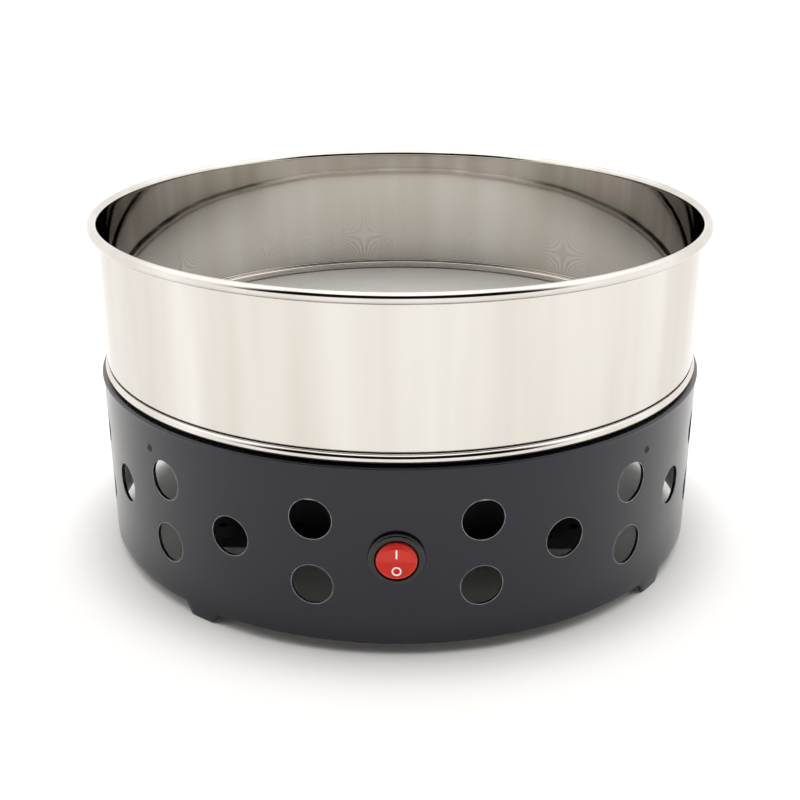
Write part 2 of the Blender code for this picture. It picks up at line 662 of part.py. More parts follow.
def build_motor():
    """Stator and bearings stay with the frame; the cup, the shaft and the impeller turn."""
    bore = BEARING_RADIUS + GAP
    tube = bore + BEARING_TUBE_WALL
    seat_top = FAN_BOTTOM + MOTOR_SEAT_THICKNESS
    cup_bottom = HUB_BOTTOM + 1 * MM
    stator_low = (cup_bottom + CUP_TOP - CUP_WALL - STATOR_HEIGHT) / 2
    stator_high = stator_low + STATOR_HEIGHT
    ring("stator_core", rectangle(tube + GAP, STATOR_RADIUS, stator_low, stator_high), "galvanised_steel", 32)
    for name, low in (
        ("winding_upper", stator_high + GAP),
        ("winding_lower", stator_low - GAP - WINDING_HEIGHT),
    ):
        high = low + WINDING_HEIGHT
        slope = WINDING_HEIGHT / 4
        inner = tube + 2 * MM
        outline = [
            (WINDING_RADIUS, high - slope), (WINDING_RADIUS, low + slope), (WINDING_RADIUS - slope, low),
            (inner + slope, low), (inner, low + slope), (inner, high - slope),
            (inner + slope, high), (WINDING_RADIUS - slope, high),
        ]
        ring(name, outline, "copper", 32)

    tube_top = CUP_TOP - CUP_WALL - 2 * MM
    lower = rectangle(SHAFT_RADIUS + GAP, BEARING_RADIUS, seat_top, seat_top + BEARING_HEIGHT)
    ring("bearing_lower", lower, "zinc_plate", SMALL_SEGMENTS)
    upper = rectangle(SHAFT_RADIUS + GAP, BEARING_RADIUS, tube_top - BEARING_HEIGHT, tube_top)
    ring("bearing_upper", upper, "zinc_plate", SMALL_SEGMENTS)

    shaft = [(0, CUP_TOP), (SHAFT_RADIUS, CUP_TOP), (SHAFT_RADIUS, FAN_BOTTOM), (0, FAN_BOTTOM)]
    turning("motor_shaft", shaft, "zinc_plate", SMALL_SEGMENTS)

    boss = SHAFT_RADIUS + GAP
    cup = [
        (CUP_RADIUS, CUP_TOP), (CUP_RADIUS, cup_bottom), (CUP_RADIUS - CUP_WALL, cup_bottom),
        (CUP_RADIUS - CUP_WALL, CUP_TOP - CUP_WALL), (boss, CUP_TOP - CUP_WALL), (boss, CUP_TOP),
    ]
    ring("rotor_cup", cup, "galvanised_steel", 32)


def add_blade(bm, azimuth):
    """Adds one twisted blade: it rises as it turns, more steeply at the tip than at the hub."""
    root, tip = HUB_RADIUS - HUB_WALL / 2, DUCT_RADIUS - BLADE_TIP_GAP
    low, high = HUB_BOTTOM + 1 * MM, HUB_TOP - 2 * MM
    radial, chordal = 4, 5
    sheets = []
    for side in (-0.5, 0.5):
        grid = []
        for i in range(radial + 1):
            share = i / radial
            radius = root + (tip - root) * share
            turn = BLADE_HUB_TURN + (BLADE_TIP_TURN - BLADE_HUB_TURN) * share
            row = []
            for j in range(chordal + 1):
                rise = j / chordal
                thick = BLADE_THICKNESS * (0.5 + 0.8 * math.sin(math.pi * rise))
                angle = azimuth + turn * (rise - 0.5 + 0.1 * math.sin(math.pi * rise))
                angle += side * thick / radius
                row.append(bm.verts.new(on_circle(radius, angle, low + (high - low) * rise)))
            grid.append(row)
        sheets.append(grid)
    for grid in sheets:
        for i in range(radial):
            for j in range(chordal):
                bm.faces.new((grid[i][j], grid[i + 1][j], grid[i + 1][j + 1], grid[i][j + 1]))
    first, second = sheets
    border = [(i, 0) for i in range(radial)]
    border += [(radial, j) for j in range(chordal)]
    border += [(i, chordal) for i in range(radial, 0, -1)]
    border += [(0, j) for j in range(chordal, 0, -1)]
    for (i, j), (k, m) in zip(border, border[1:] + border[:1]):
        bm.faces.new((first[i][j], first[k][m], second[k][m], second[i][j]))


def build_impeller():
    inner = CUP_RADIUS + GAP
    hub = [
        (HUB_RADIUS - MM, HUB_TOP), (HUB_RADIUS, HUB_TOP - MM), (HUB_RADIUS, HUB_BOTTOM), (inner, HUB_BOTTOM),
        (inner, CUP_TOP + GAP), (SHAFT_RADIUS, CUP_TOP + GAP), (SHAFT_RADIUS, HUB_TOP),
    ]
    impeller = ring("impeller", hub, "black_plastic", 32)
    bm = bmesh.new()
    for blade in range(BLADE_COUNT):
        add_blade(bm, 2 * math.pi * blade / BLADE_COUNT)
    join(impeller, tool("blade_tool", bm))


def build_guard():
    """Finger guard: wire rings on crossed wires that end in eyes under the fan's screws."""
    wire = GUARD_WIRE / 2
    leg_height = DECK_TOP + GAP + wire
    ring_height = leg_height + GUARD_WIRE * 0.7
    bm = bmesh.new()
    for radius in GUARD_RING_RADII:
        spin_outline(bm, arc((radius, ring_height), wire, 0, 300, 5), True, RING_SEGMENTS)
    bm.transform(Matrix.Rotation(math.pi / RING_SEGMENTS, 4, "Z"))
    guard = new_object("finger_guard", bm, "zinc_plate")

    bm = bmesh.new()
    corner = Vector((FAN_SCREW_PITCH / 2, FAN_SCREW_PITCH / 2, leg_height))
    inside = GUARD_RING_RADII[0] - GUARD_WIRE
    reach = corner.xy.length - GUARD_EYE_RADIUS + wire
    for quarter in range(4):
        turn = Matrix.Rotation(quarter * math.pi / 2, 4, "Z")
        along = corner.xy.normalized()
        start = turn @ Vector((along.x * inside, along.y * inside, leg_height))
        end = turn @ Vector((along.x * reach, along.y * reach, leg_height))
        add_rod(bm, wire, start, end, 8)
    join(guard, tool("guard_leg_tool", bm))

    bm = bmesh.new()
    for x, y in SCREW_PLACES:
        eye = bmesh.new()
        hole = SCREW_RADIUS + GAP
        outline = rectangle(hole, GUARD_EYE_RADIUS, leg_height - wire * 0.9, leg_height + wire * 0.9)
        spin_outline(eye, outline, True, 16)
        eye.transform(Matrix.Translation((x * FAN_SCREW_PITCH, y * FAN_SCREW_PITCH, 0)))
        part = bpy.data.meshes.new("guard_eye")
        eye.to_mesh(part)
        eye.free()
        bm.from_mesh(part)
        bpy.data.meshes.remove(part)
    join(guard, tool("guard_eye_tool", bm))


def hexagon_nut(name, across_flats, hole, height, finish):
    """A nut with its lower face at the origin, upright."""
    bm = bmesh.new()
    bmesh.ops.create_cone(
        bm, cap_ends=True, segments=6, radius1=across_flats / math.sqrt(3),
        radius2=across_flats / math.sqrt(3), depth=height, matrix=Matrix.Translation((0, 0, height / 2)),
    )
    nut = new_object(name, bm, finish)
    bm = bmesh.new()
    add_rod(bm, hole, (0, 0, -height), (0, 0, 2 * height), 12)
    return nut, tool(name + "_tool", bm)


def build_fan_fasteners():
    head_low = DECK_TOP + GAP + GUARD_WIRE + GAP
    length = head_low - (FAN_TOP - FAN_FLANGE) + NUT_HEIGHT + 2 * MM
    dome = SCREW_HEAD_HEIGHT * 0.35
    outline = [
        (0, SCREW_HEAD_HEIGHT), (SCREW_HEAD_RADIUS * 0.7, SCREW_HEAD_HEIGHT),
        (SCREW_HEAD_RADIUS, SCREW_HEAD_HEIGHT - dome), (SCREW_HEAD_RADIUS, 0),
        (SCREW_RADIUS, 0), (SCREW_RADIUS, -length), (0, -length),
    ]
    screw = nut = None
    for number, (x, y) in enumerate(SCREW_PLACES, 1):
        place = Matrix.Translation((x * FAN_SCREW_PITCH, y * FAN_SCREW_PITCH, head_low))
        nut_low = FAN_TOP - FAN_FLANGE - GAP - NUT_HEIGHT
        nut_place = Matrix.Translation((x * FAN_SCREW_PITCH, y * FAN_SCREW_PITCH, nut_low))
        if screw is None:
            screw = turning("fan_screw_1", outline, "zinc_plate", 12)
            screw.matrix_world = place
        else:
            copy_of(screw, f"fan_screw_{number}", place)
        nut, hole = hexagon_nut(
            f"fan_nut_{number}", NUT_ACROSS_FLATS, SCREW_RADIUS + GAP, NUT_HEIGHT, "zinc_plate"
        )
        nut.matrix_world = nut_place
        hole.matrix_world = nut_place
        cut(nut, hole)


# Rocker switch, made with its face along +Z and then turned to the front

def switch_place():
    front = on_circle(base_radius(SWITCH_HEIGHT) + GAP + BEZEL_THICKNESS, 0, SWITCH_HEIGHT)
    return Matrix.Translation(front) @ Matrix.Rotation(math.radians(90), 4, "X")


def build_switch():
    """The bezel's face is at z = 0 of its own frame; the barrel reaches back to the terminals."""
    back = -BEZEL_THICKNESS - BARREL_LENGTH
    floor = back + SWITCH_FLOOR
    edge = 0.6 * MM
    outline = [
        (0, back), (BARREL_RADIUS, back), (BARREL_RADIUS, -BEZEL_THICKNESS),
        (BEZEL_RADIUS, -BEZEL_THICKNESS), (BEZEL_RADIUS, -edge), (BEZEL_RADIUS - edge, 0),
        (SWITCH_WELL_RADIUS, 0), (SWITCH_WELL_RADIUS, floor), (0, floor),
    ]
    body = turning("switch_body", outline, "black_plastic", 32)
    body.matrix_world = switch_place()
    bm = bmesh.new()
    width, thick = TERMINAL_SIZE
    for side in (-0.5, 0.5):
        size = (width + 2 * GAP, thick + 2 * GAP, 3 * SWITCH_FLOOR)
        add_box(bm, size, (0, side * TERMINAL_SPACING, back + SWITCH_FLOOR / 2))
    slots = tool("switch_slot_tool", bm)
    slots.matrix_world = switch_place()
    cut(body, slots)

    for number, side in enumerate((0.5, -0.5), 1):
        bm = bmesh.new()
        length = SWITCH_FLOOR + TERMINAL_LENGTH
        add_box(bm, (width, thick, length), (0, side * TERMINAL_SPACING, floor + 0.5 * MM - length / 2))
        made = new_object(f"switch_terminal_{number}", bm, "brass")
        made.matrix_world = switch_place()


def build_rocker():
    """Round rocker with two flat halves that meet in a shallow valley, pressed in at its lower side."""
    def side_radius(height):
        """The side follows a ball about the pivot, so it keeps clear of the well as it tilts."""
        return math.sqrt(ROCKER_RADIUS ** 2 - height ** 2)

    face = ROCKER_PIVOT_DEPTH + ROCKER_FACE
    back = face - ROCKER_THICKNESS
    heights = [face, face / 2, back / 2, back]
    outline = [(0, face), (side_radius(face) * 0.55, face)]
    outline += [(side_radius(height), height) for height in heights]
    outline.append((0, back))
    bm = bmesh.new()
    spin_outline(bm, outline, False, 32)
    for corner in bm.verts:
        if corner.co.z > face - 0.01 * MM:
            corner.co.z += abs(corner.co.y) * math.tan(ROCKER_TILT)
    rocker = new_object("switch_rocker", bm, "red_plastic")
    pivot = bpy.data.objects.new("rocker_pivot", None)
    to_pivot = Matrix.Translation((0, 0, -ROCKER_PIVOT_DEPTH))
    pivot.matrix_world = switch_place() @ to_pivot @ Matrix.Rotation(ROCKER_TILT, 4, "X")
    bpy.context.scene.collection.objects.link(pivot)
    rocker.parent = pivot


# Power inlet, upright on the back of the base

def build_inlet():
    face = base_radius(INLET_HEIGHT) + GAP
    flange_x, flange_y, flange_z = INLET_FLANGE
    body_x, body_y, body_z = INLET_BODY
    bm = bmesh.new()
    add_box(bm, INLET_FLANGE, (0, face + flange_y / 2, INLET_HEIGHT))
    corners = [edge for edge in bm.edges if abs(edge.verts[0].co.y - edge.verts[1].co.y) > flange_y / 2]
    bmesh.ops.bevel(bm, geom=corners, offset=INLET_CORNER, segments=3, affect="EDGES", profile=0.5)
    housing = new_object("inlet_housing", bm, "black_plastic")

    bm = bmesh.new()
    overlap = flange_y / 2
    add_box(
        bm, (body_x, body_y + overlap, body_z), (0, face + overlap - (body_y + overlap) / 2, INLET_HEIGHT)
    )
    join(housing, tool("inlet_body_tool", bm))

    mouth = face + flange_y
    socket_x, socket_y, socket_z = INLET_SOCKET
    bm = bmesh.new()
    add_box(bm, (socket_x, socket_y + MM, socket_z), (0, mouth + MM - (socket_y + MM) / 2, INLET_HEIGHT))
    bevelled = []
    for edge in bm.edges:
        first, second = edge.verts[0].co, edge.verts[1].co
        if abs(first.y - second.y) > socket_y / 2 and first.x > 0:
            bevelled.append(edge)
    bmesh.ops.bevel(bm, geom=bevelled, offset=INLET_CORNER, segments=1, affect="EDGES")
    cut(housing, tool("inlet_socket_tool", bm))
    pin_x, pin_y, pin_z = INLET_PIN
    tail = mouth - socket_y - (body_y + flange_y - socket_y) - INLET_PIN_TAIL
    pins = [
        ("inlet_pin_line", -INLET_EARTH_OFFSET / 2, INLET_PIN_SPACING / 2),
        ("inlet_pin_neutral", -INLET_EARTH_OFFSET / 2, -INLET_PIN_SPACING / 2),
        ("inlet_pin_earth", INLET_EARTH_OFFSET / 2, 0.0),
    ]
    bm = bmesh.new()
    for _, x, z in pins:
        size = (pin_x + 2 * GAP, 2 * body_y, pin_z + 2 * GAP)
        add_box(bm, size, (x, mouth - socket_y / 2 - body_y, INLET_HEIGHT + z))
    cut(housing, tool("inlet_slot_tool", bm))

    bm = bmesh.new()
    for side in (-0.5, 0.5):
        height = INLET_HEIGHT + side * INLET_SCREW_SPACING
        add_rod(bm, INLET_SCREW_RADIUS + GAP, (0, face - MM, height), (0, mouth + MM, height), 12)
    cut(housing, tool("inlet_hole_tool", bm))

    tip = mouth - socket_y + pin_y
    for name, x, z in pins:
        bm = bmesh.new()
        add_box(bm, (pin_x, tip - tail, pin_z), (x, (tip + tail) / 2, INLET_HEIGHT + z))
        new_object(name, bm, "brass")

    head, rise = INLET_SCREW_HEAD_RADIUS, INLET_SCREW_HEAD_HEIGHT
    outline = [
        (0, rise), (head * 0.7, rise), (head, rise * 0.5), (head, 0),
        (INLET_SCREW_RADIUS, 0), (INLET_SCREW_RADIUS, -INLET_SCREW_LENGTH), (0, -INLET_SCREW_LENGTH),
    ]
    turn_back = Matrix.Rotation(math.radians(-90), 4, "X")
    inside = base_radius(INLET_HEIGHT) - BASE_WALL - GAP
    screw = None
    for number, side in enumerate((-0.5, 0.5), 1):
        height = INLET_HEIGHT + side * INLET_SCREW_SPACING
        place = Matrix.Translation((0, mouth + GAP, height)) @ turn_back
        if screw is None:
            screw = turning("inlet_screw_1", outline, "dark_screw", 12)
            screw.matrix_world = place
        else:
            copy_of(screw, f"inlet_screw_{number}", place)
        nut, hole = hexagon_nut(
            f"inlet_nut_{number}", INLET_NUT_ACROSS_FLATS, INLET_SCREW_RADIUS + GAP,
            INLET_NUT_HEIGHT, "zinc_plate",
        )
        nut_place = Matrix.Translation((0, inside - INLET_NUT_HEIGHT - GAP, height)) @ turn_back
        nut.matrix_world = nut_place
        hole.matrix_world = nut_place
        cut(nut, hole)
    return {name: Vector((x, tail, INLET_HEIGHT + z)) for name, x, z in pins}


# Wires, from terminal to terminal under the deck

def smooth_path(points, spacing):
    """Points about this far apart on a smooth curve through the route's own points."""
    ends = [2 * points[0] - points[1]] + points + [2 * points[-1] - points[-2]]
    path = []
    for a, b, c, d in zip(ends, ends[1:], ends[2:], ends[3:]):
        steps = max(1, round((c - b).length / spacing))
        for i in range(steps):
            t = i / steps
            path.append(0.5 * (
                2 * b + (c - a) * t + (2 * a - 5 * b + 4 * c - d) * t ** 2
                + (3 * b - a - 3 * c + d) * t ** 3
            ))
    return path + [points[-1]]


def wire(name, points, finish):
    """A round wire as a poly curve with filled ends."""
    path = smooth_path([Vector(point) for point in points], WIRE_SPAN)
    curve = bpy.data.curves.new(name, "CURVE")
    curve.dimensions = "3D"
    curve.bevel_depth = WIRE_RADIUS
    curve.bevel_resolution = 2
    curve.use_fill_caps = True
    spline = curve.splines.new("POLY")
    spline.points.add(len(path) - 1)
    for corner, place in zip(spline.points, path):
        corner.co = (*place, 1.0)
    curve.materials.append(material(finish))
    made = bpy.data.objects.new(name, curve)
    bpy.context.scene.collection.objects.link(made)


def build_wires(pin_ends):
    """Each wire leaves its terminal straight, climbs to a track under the deck and follows the shell."""
    track = DECK_BOTTOM - 3.5 * WIRE_RADIUS
    terminal_y = -(base_radius(SWITCH_HEIGHT) + GAP) + BARREL_LENGTH + TERMINAL_LENGTH - 0.5 * MM
    upper = Vector((0, terminal_y + GAP, SWITCH_HEIGHT + TERMINAL_SPACING / 2))
    lower = Vector((0, terminal_y + GAP, SWITCH_HEIGHT - TERMINAL_SPACING / 2))

    def leaving(end, direction, reach):
        """The end itself and two points straight out of it."""
        return [end, end + direction * reach / 2, end + direction * reach]

    def along_shell(start, stop, radius, height):
        """Points along the shell at one height, from one azimuth in degrees to another."""
        start, stop = math.radians(start), math.radians(stop)
        count = max(2, round(abs(stop - start) / WIRE_STEP))
        return [on_circle(radius, start + (stop - start) * i / count, height) for i in range(count + 1)]

    inward = Vector((0, -1, 0))
    back = Vector((0, 1, 0))
    pin = {name: end + inward * GAP for name, end in pin_ends.items()}
    right = WIRE_TRACK_RADIUS
    inner = WIRE_TRACK_RADIUS - 3 * WIRE_RADIUS

    points = leaving(pin["inlet_pin_line"], inward, WIRE_LEAD)
    points += along_shell(162, 14, right, track)
    points += leaving(upper, back, WIRE_LEAD)[::-1]
    wire("wire_line_in", points, "brown_wire")

    turn = facing(-FAN_BLOCK_AZIMUTH)
    out = turn @ Vector((0, -1, 0))
    reach = FAN_BLOCK_REACH + GAP + TERMINAL_LENGTH + GAP
    tabs = [turn @ Vector((side * FAN_TERMINAL_OFFSET, -reach, FAN_BLOCK_HEIGHT)) for side in (-1, 1)]

    points = leaving(tabs[1], out, FAN_WIRE_LEAD)
    points += along_shell(-120, -14, right, track)
    points += leaving(lower, back, WIRE_LONG_LEAD)[::-1]
    wire("wire_line_out", points, "brown_wire")

    points = leaving(tabs[0], out, FAN_WIRE_LEAD)
    points += along_shell(-150, -166, right - NEUTRAL_WIRE_INSET, FAN_BLOCK_HEIGHT - NEUTRAL_WIRE_DROP)
    points += leaving(pin["inlet_pin_neutral"], inward, WIRE_LEAD)[::-1]
    wire("wire_neutral", points, "blue_wire")

    earth = turn @ Vector((0, -(FAN_BLOCK_REACH + GAP), FAN_BLOCK_HEIGHT))
    points = leaving(earth, out, EARTH_WIRE_LEAD)
    points += along_shell(-148, -164, inner, FAN_BLOCK_HEIGHT + EARTH_WIRE_RISE)
    points += leaving(pin["inlet_pin_earth"], inward, WIRE_LONG_LEAD)[::-1]
    wire("wire_earth", points, "green_wire")


def main():
    for old in list(bpy.data.objects):
        bpy.data.objects.remove(old, do_unlink=True)
    build_tray()
    build_base()
    build_deck()
    build_fan_frame()
    build_motor()
    build_impeller()
    build_guard()
    build_fan_fasteners()
    build_switch()
    build_rocker()
    pin_ends = build_inlet()
    build_wires(pin_ends)


main()
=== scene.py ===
# %% [markdown]
# # Coffee bean cooler
#
# The real object cools freshly roasted coffee beans. A tray of polished sheet steel, with a sieve of
# woven wire for its floor, stands loose on a charcoal steel drum. A fan in the drum draws air down
# through the beans, and the air leaves through the round vents. This lesson builds its looks on a
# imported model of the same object, which fixes every size and moves every loose piece.

# %% The frame
import math

import bmesh
import bpy
import numpy as np
from mathutils import Matrix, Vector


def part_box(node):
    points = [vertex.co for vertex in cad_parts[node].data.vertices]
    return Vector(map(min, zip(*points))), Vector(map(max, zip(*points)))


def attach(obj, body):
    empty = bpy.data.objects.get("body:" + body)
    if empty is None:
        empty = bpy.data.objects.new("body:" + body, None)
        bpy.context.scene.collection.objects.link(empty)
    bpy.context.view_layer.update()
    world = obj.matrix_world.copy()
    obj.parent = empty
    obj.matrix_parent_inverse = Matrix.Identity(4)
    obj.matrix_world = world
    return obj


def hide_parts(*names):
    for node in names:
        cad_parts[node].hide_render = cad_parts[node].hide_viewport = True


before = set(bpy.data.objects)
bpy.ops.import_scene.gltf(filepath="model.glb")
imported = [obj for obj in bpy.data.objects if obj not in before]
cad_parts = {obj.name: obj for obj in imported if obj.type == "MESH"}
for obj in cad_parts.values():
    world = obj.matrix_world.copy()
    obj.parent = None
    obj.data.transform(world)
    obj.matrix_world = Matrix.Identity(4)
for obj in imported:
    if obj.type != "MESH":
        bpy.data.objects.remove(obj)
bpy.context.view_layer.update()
MM = 0.001
GAP = 0.3 * MM  # between pieces that touch

# %% [markdown]
# ## Helpers
#
# Nearly every piece of this object is sheet or plastic turned round an axis, so the helpers make
# outlines, carry them round and put the result into a mesh. Everything is worked out as numpy
# arrays, because one array sum moves ten thousand points at once.

# %% Colour and node helpers


def hex_colour(code):
    """Turns an sRGB hex code into the linear colour that shaders work in."""
    channels = np.array([int(code[i:i + 2], 16) for i in (1, 3, 5)]) / 255
    linear = np.where(channels <= 0.04045, channels / 12.92, ((channels + 0.055) / 1.055) ** 2.4)
    return (*linear.tolist(), 1.0)


def new_material(name, colour, roughness, metallic=0.0):
    """A material with one Principled shader; returns the material, its node tree and the shader."""
    made = bpy.data.materials.new(name)
    made.use_nodes = True
    shader = made.node_tree.nodes["Principled BSDF"]
    shader.inputs["Base Color"].default_value = hex_colour(colour)
    shader.inputs["Roughness"].default_value = roughness
    shader.inputs["Metallic"].default_value = metallic
    print("finish:", name)
    return made, made.node_tree, shader


def add(tree, kind, inputs=None, **settings):
    """Adds a node. Settings are its own properties; inputs are values or the sockets to link from."""
    node = tree.nodes.new(kind)
    for name, value in settings.items():
        setattr(node, name, value)
    for name, value in (inputs or {}).items():
        if isinstance(value, bpy.types.NodeSocket):
            tree.links.new(value, node.inputs[name])
        else:
            node.inputs[name].default_value = value
    return node


def place_of(tree):
    """The place of the point being shaded, in the piece's own metres."""
    return add(tree, "ShaderNodeTexCoord").outputs["Object"]


def noise_of(tree, place, scale, detail):
    """A noise between 0 and 1, with scale lumps to the metre of place."""
    return add(tree, "ShaderNodeTexNoise", {"Vector": place, "Scale": scale, "Detail": detail}).outputs["Fac"]


def ramp(tree, value, before, after=(0.0, 1.0), kind="LINEAR"):
    """Goes from one value of after to the other as value goes from one value of before to the other."""
    return add(tree, "ShaderNodeMapRange", {
        "Value": value, "From Min": before[0], "From Max": before[1],
        "To Min": after[0], "To Max": after[1],
    }, interpolation_type=kind).outputs[0]


def bumps(tree, shader, height, strength, depth):
    """Bends the shader's normal as if the surface rose by depth where height is 1."""
    bend = add(tree, "ShaderNodeBump", {"Height": height, "Strength": strength, "Distance": depth})
    tree.links.new(bend.outputs[0], shader.inputs["Normal"])


def grained(name, colour, roughness, scale, detail, relief=None, spread=(0.0, 1.0), metallic=0.0):
    """A material with one noise over it, scale lumps to the metre; returns what new_material does.

    roughness is one number, or two: its values where the noise is at the two ends of spread. relief
    is the strength and the depth of the bumps.
    """
    values = roughness if isinstance(roughness, tuple) else (roughness,)
    made, tree, shader = new_material(name, colour, values[0], metallic)
    noise = noise_of(tree, place_of(tree), scale, detail)
    if len(values) == 2:
        tree.links.new(ramp(tree, noise, spread, values), shader.inputs["Roughness"])
    if relief:
        bumps(tree, shader, noise, *relief)
    return made, tree, shader


def colour_between(tree, shader, factor, first, second):
    """Runs the shader's colour from one hex colour to another as the factor goes from 0 to 1."""
    mix = add(tree, "ShaderNodeMix", {"Factor": factor}, data_type="RGBA")
    mix.inputs[6].default_value = hex_colour(first)
    mix.inputs[7].default_value = hex_colour(second)
    tree.links.new(mix.outputs[2], shader.inputs["Base Color"])


# %% Outline helpers


def rectangle(half_width, half_height, middle=0.0):
    """The four corners of a rectangle, whose middle lies at (middle, 0)."""
    signs = ((-1, -1), (1, -1), (1, 1), (-1, 1))
    return [(middle + x * half_width, y * half_height) for x, y in signs]


def arc(centre, radius, start, end, steps):
    """Points on a circle's arc: centre + radius * (cos, sin) of an angle in degrees."""
    angle = np.radians(np.linspace(start, end, steps + 1))
    return np.asarray(centre) + radius * np.stack([np.cos(angle), np.sin(angle)], -1)


def rounded(corners, radius, steps=4):
    """A closed outline with each corner replaced by an arc that is tangent to both of its sides.

    radius is one number or one for each corner. The arc starts radius * tan(turn / 2) before the
    corner, and its points swing from one side's normal to the other's.
    """
    corners = np.asarray(corners, float)
    radii = np.broadcast_to(radius, len(corners))
    points = []
    for i, corner in enumerate(corners):
        before, after = corners[i - 1], corners[(i + 1) % len(corners)]
        a = (before - corner) / np.linalg.norm(before - corner)
        b = (after - corner) / np.linalg.norm(after - corner)
        half = math.acos(np.clip(a @ b, -1, 1)) / 2
        if radii[i] <= 0 or half > math.radians(89):
            points.append(corner[None])
            continue
        middle = corner + (a + b) / np.linalg.norm(a + b) * radii[i] / math.sin(half)
        first = corner + a * radii[i] / math.tan(half) - middle
        last = corner + b * radii[i] / math.tan(half) - middle
        share = np.linspace(0, 1, steps + 1)[:, None]
        swing = first * (1 - share) + last * share
        points.append(middle + swing / np.linalg.norm(swing, axis=1)[:, None] * radii[i])
    return np.concatenate(points)


def sheet_outline(path, thickness, cap_steps=4):
    """The closed outline of a sheet: the path moved half its thickness each way along its normals,
    with a half circle round each end."""
    path = np.asarray(path, float)
    step = np.diff(path, axis=0)
    step /= np.linalg.norm(step, axis=1)[:, None]
    along = np.concatenate([step[:1], step[:-1] + step[1:], step[-1:]])
    along /= np.linalg.norm(along, axis=1)[:, None]
    normal = np.stack([-along[:, 1], along[:, 0]], -1)
    half = thickness / 2

    def cap(point, direction):
        angle = math.degrees(math.atan2(direction[1], direction[0]))
        return arc(point, half, angle + 90, angle - 90, cap_steps)[1:-1]

    left, right = path + normal * half, path - normal * half
    return np.concatenate([left, cap(path[-1], along[-1]), right[::-1], cap(path[0], -along[0])])


# %% Mesh helpers


def lofted(loops):
    """A closed solid through loops of equally many points, with a flat face over each end."""
    count = len(loops[0])
    faces = grid_faces(len(loops), count, False, True)
    caps = np.arange(count)[None]
    last = caps[:, ::-1] + (len(loops) - 1) * count
    return np.concatenate(loops), [faces, caps, last]


def two_sided(front, back):
    """A thin closed solid from two grids of points, joined round their border."""
    rows, columns = front.shape[:2]
    count = rows * columns
    number = np.arange(count).reshape(rows, columns)
    border = np.concatenate([number[0], number[1:, -1], number[-1, -2::-1], number[-2:0:-1, 0]])
    other = np.roll(border, -1)
    faces = grid_faces(rows, columns)
    sides = np.stack([border, other, other + count, border + count], -1)
    points = np.concatenate([front.reshape(-1, 3), back.reshape(-1, 3)])
    return points, [faces, faces[:, ::-1] + count, sides]


def grid_faces(rows, columns, close_rows=False, close_columns=False):
    """Four-sided faces between neighbouring points of a grid whose points are numbered row by row."""
    number = np.arange(rows * columns).reshape(rows, columns)
    if close_rows:
        number = np.concatenate([number, number[:1]])
    if close_columns:
        number = np.concatenate([number, number[:, :1]], axis=1)
    faces = np.stack([number[:-1, :-1], number[1:, :-1], number[1:, 1:], number[:-1, 1:]], -1)
    return faces.reshape(-1, 4)


def turned(outline, segments, closed=True):
    """An outline of (radius, height) points carried round Z: a point at azimuth a goes to
    (r sin a, -r cos a, z), so that azimuth 0 is the front."""
    outline = np.asarray(outline, float)
    azimuth = np.arange(segments) * 2 * math.pi / segments
    x = np.outer(np.sin(azimuth), outline[:, 0])
    y = np.outer(-np.cos(azimuth), outline[:, 0])
    z = np.broadcast_to(outline[:, 1], x.shape)
    points = np.stack([x, y, z], -1).reshape(-1, 3)
    return points, grid_faces(segments, len(outline), True, closed)


def tube(path, radius, sides=12):
    """A round tube: a circle carried along a path, kept square to it by frames that turn no more
    than the path itself does. Its ends are closed with flat caps."""
    path = np.asarray(path, float)
    tangent = np.gradient(path, axis=0)
    tangent /= np.linalg.norm(tangent, axis=1)[:, None]
    side = np.cross(tangent[0], [0.0, 0.0, 1.0])
    if np.linalg.norm(side) < 0.01:
        side = np.cross(tangent[0], [1.0, 0.0, 0.0])
    sides_of = []
    for direction in tangent:
        side = side - direction * (side @ direction)
        side /= np.linalg.norm(side)
        sides_of.append(side)
    first = np.array(sides_of)
    second = np.cross(tangent, first)
    angle = np.arange(sides) * 2 * math.pi / sides
    ring = first[:, None] * np.cos(angle)[:, None] + second[:, None] * np.sin(angle)[:, None]
    points = (path[:, None] + ring * radius).reshape(-1, 3)
    faces = grid_faces(len(path), sides, False, True)
    count = len(points)
    points = np.concatenate([points, path[:1], path[-1:]])
    hub = np.arange(sides)
    start = np.stack([np.full(sides, count), hub, np.roll(hub, -1)], -1)
    last = count - sides
    end = np.stack([np.full(sides, count + 1), last + np.roll(hub, -1), last + hub], -1)
    return points, [faces, start, end]


def joined(*shapes):
    """Several (points, faces) shapes as one, with each shape's faces numbered after the last one's."""
    points, faces, count = [], [], 0
    for shape_points, shape_faces in shapes:
        parts = shape_faces if isinstance(shape_faces, list) else [shape_faces]
        points.append(shape_points)
        faces += [part + count for part in parts]
        count += len(shape_points)
    return np.concatenate(points), faces


def moved(shape, matrix):
    """A shape with a 4 by 4 matrix applied to its points."""
    points, faces = shape
    matrix = np.array(matrix, float)
    return points @ matrix[:3, :3].T + matrix[:3, 3], faces


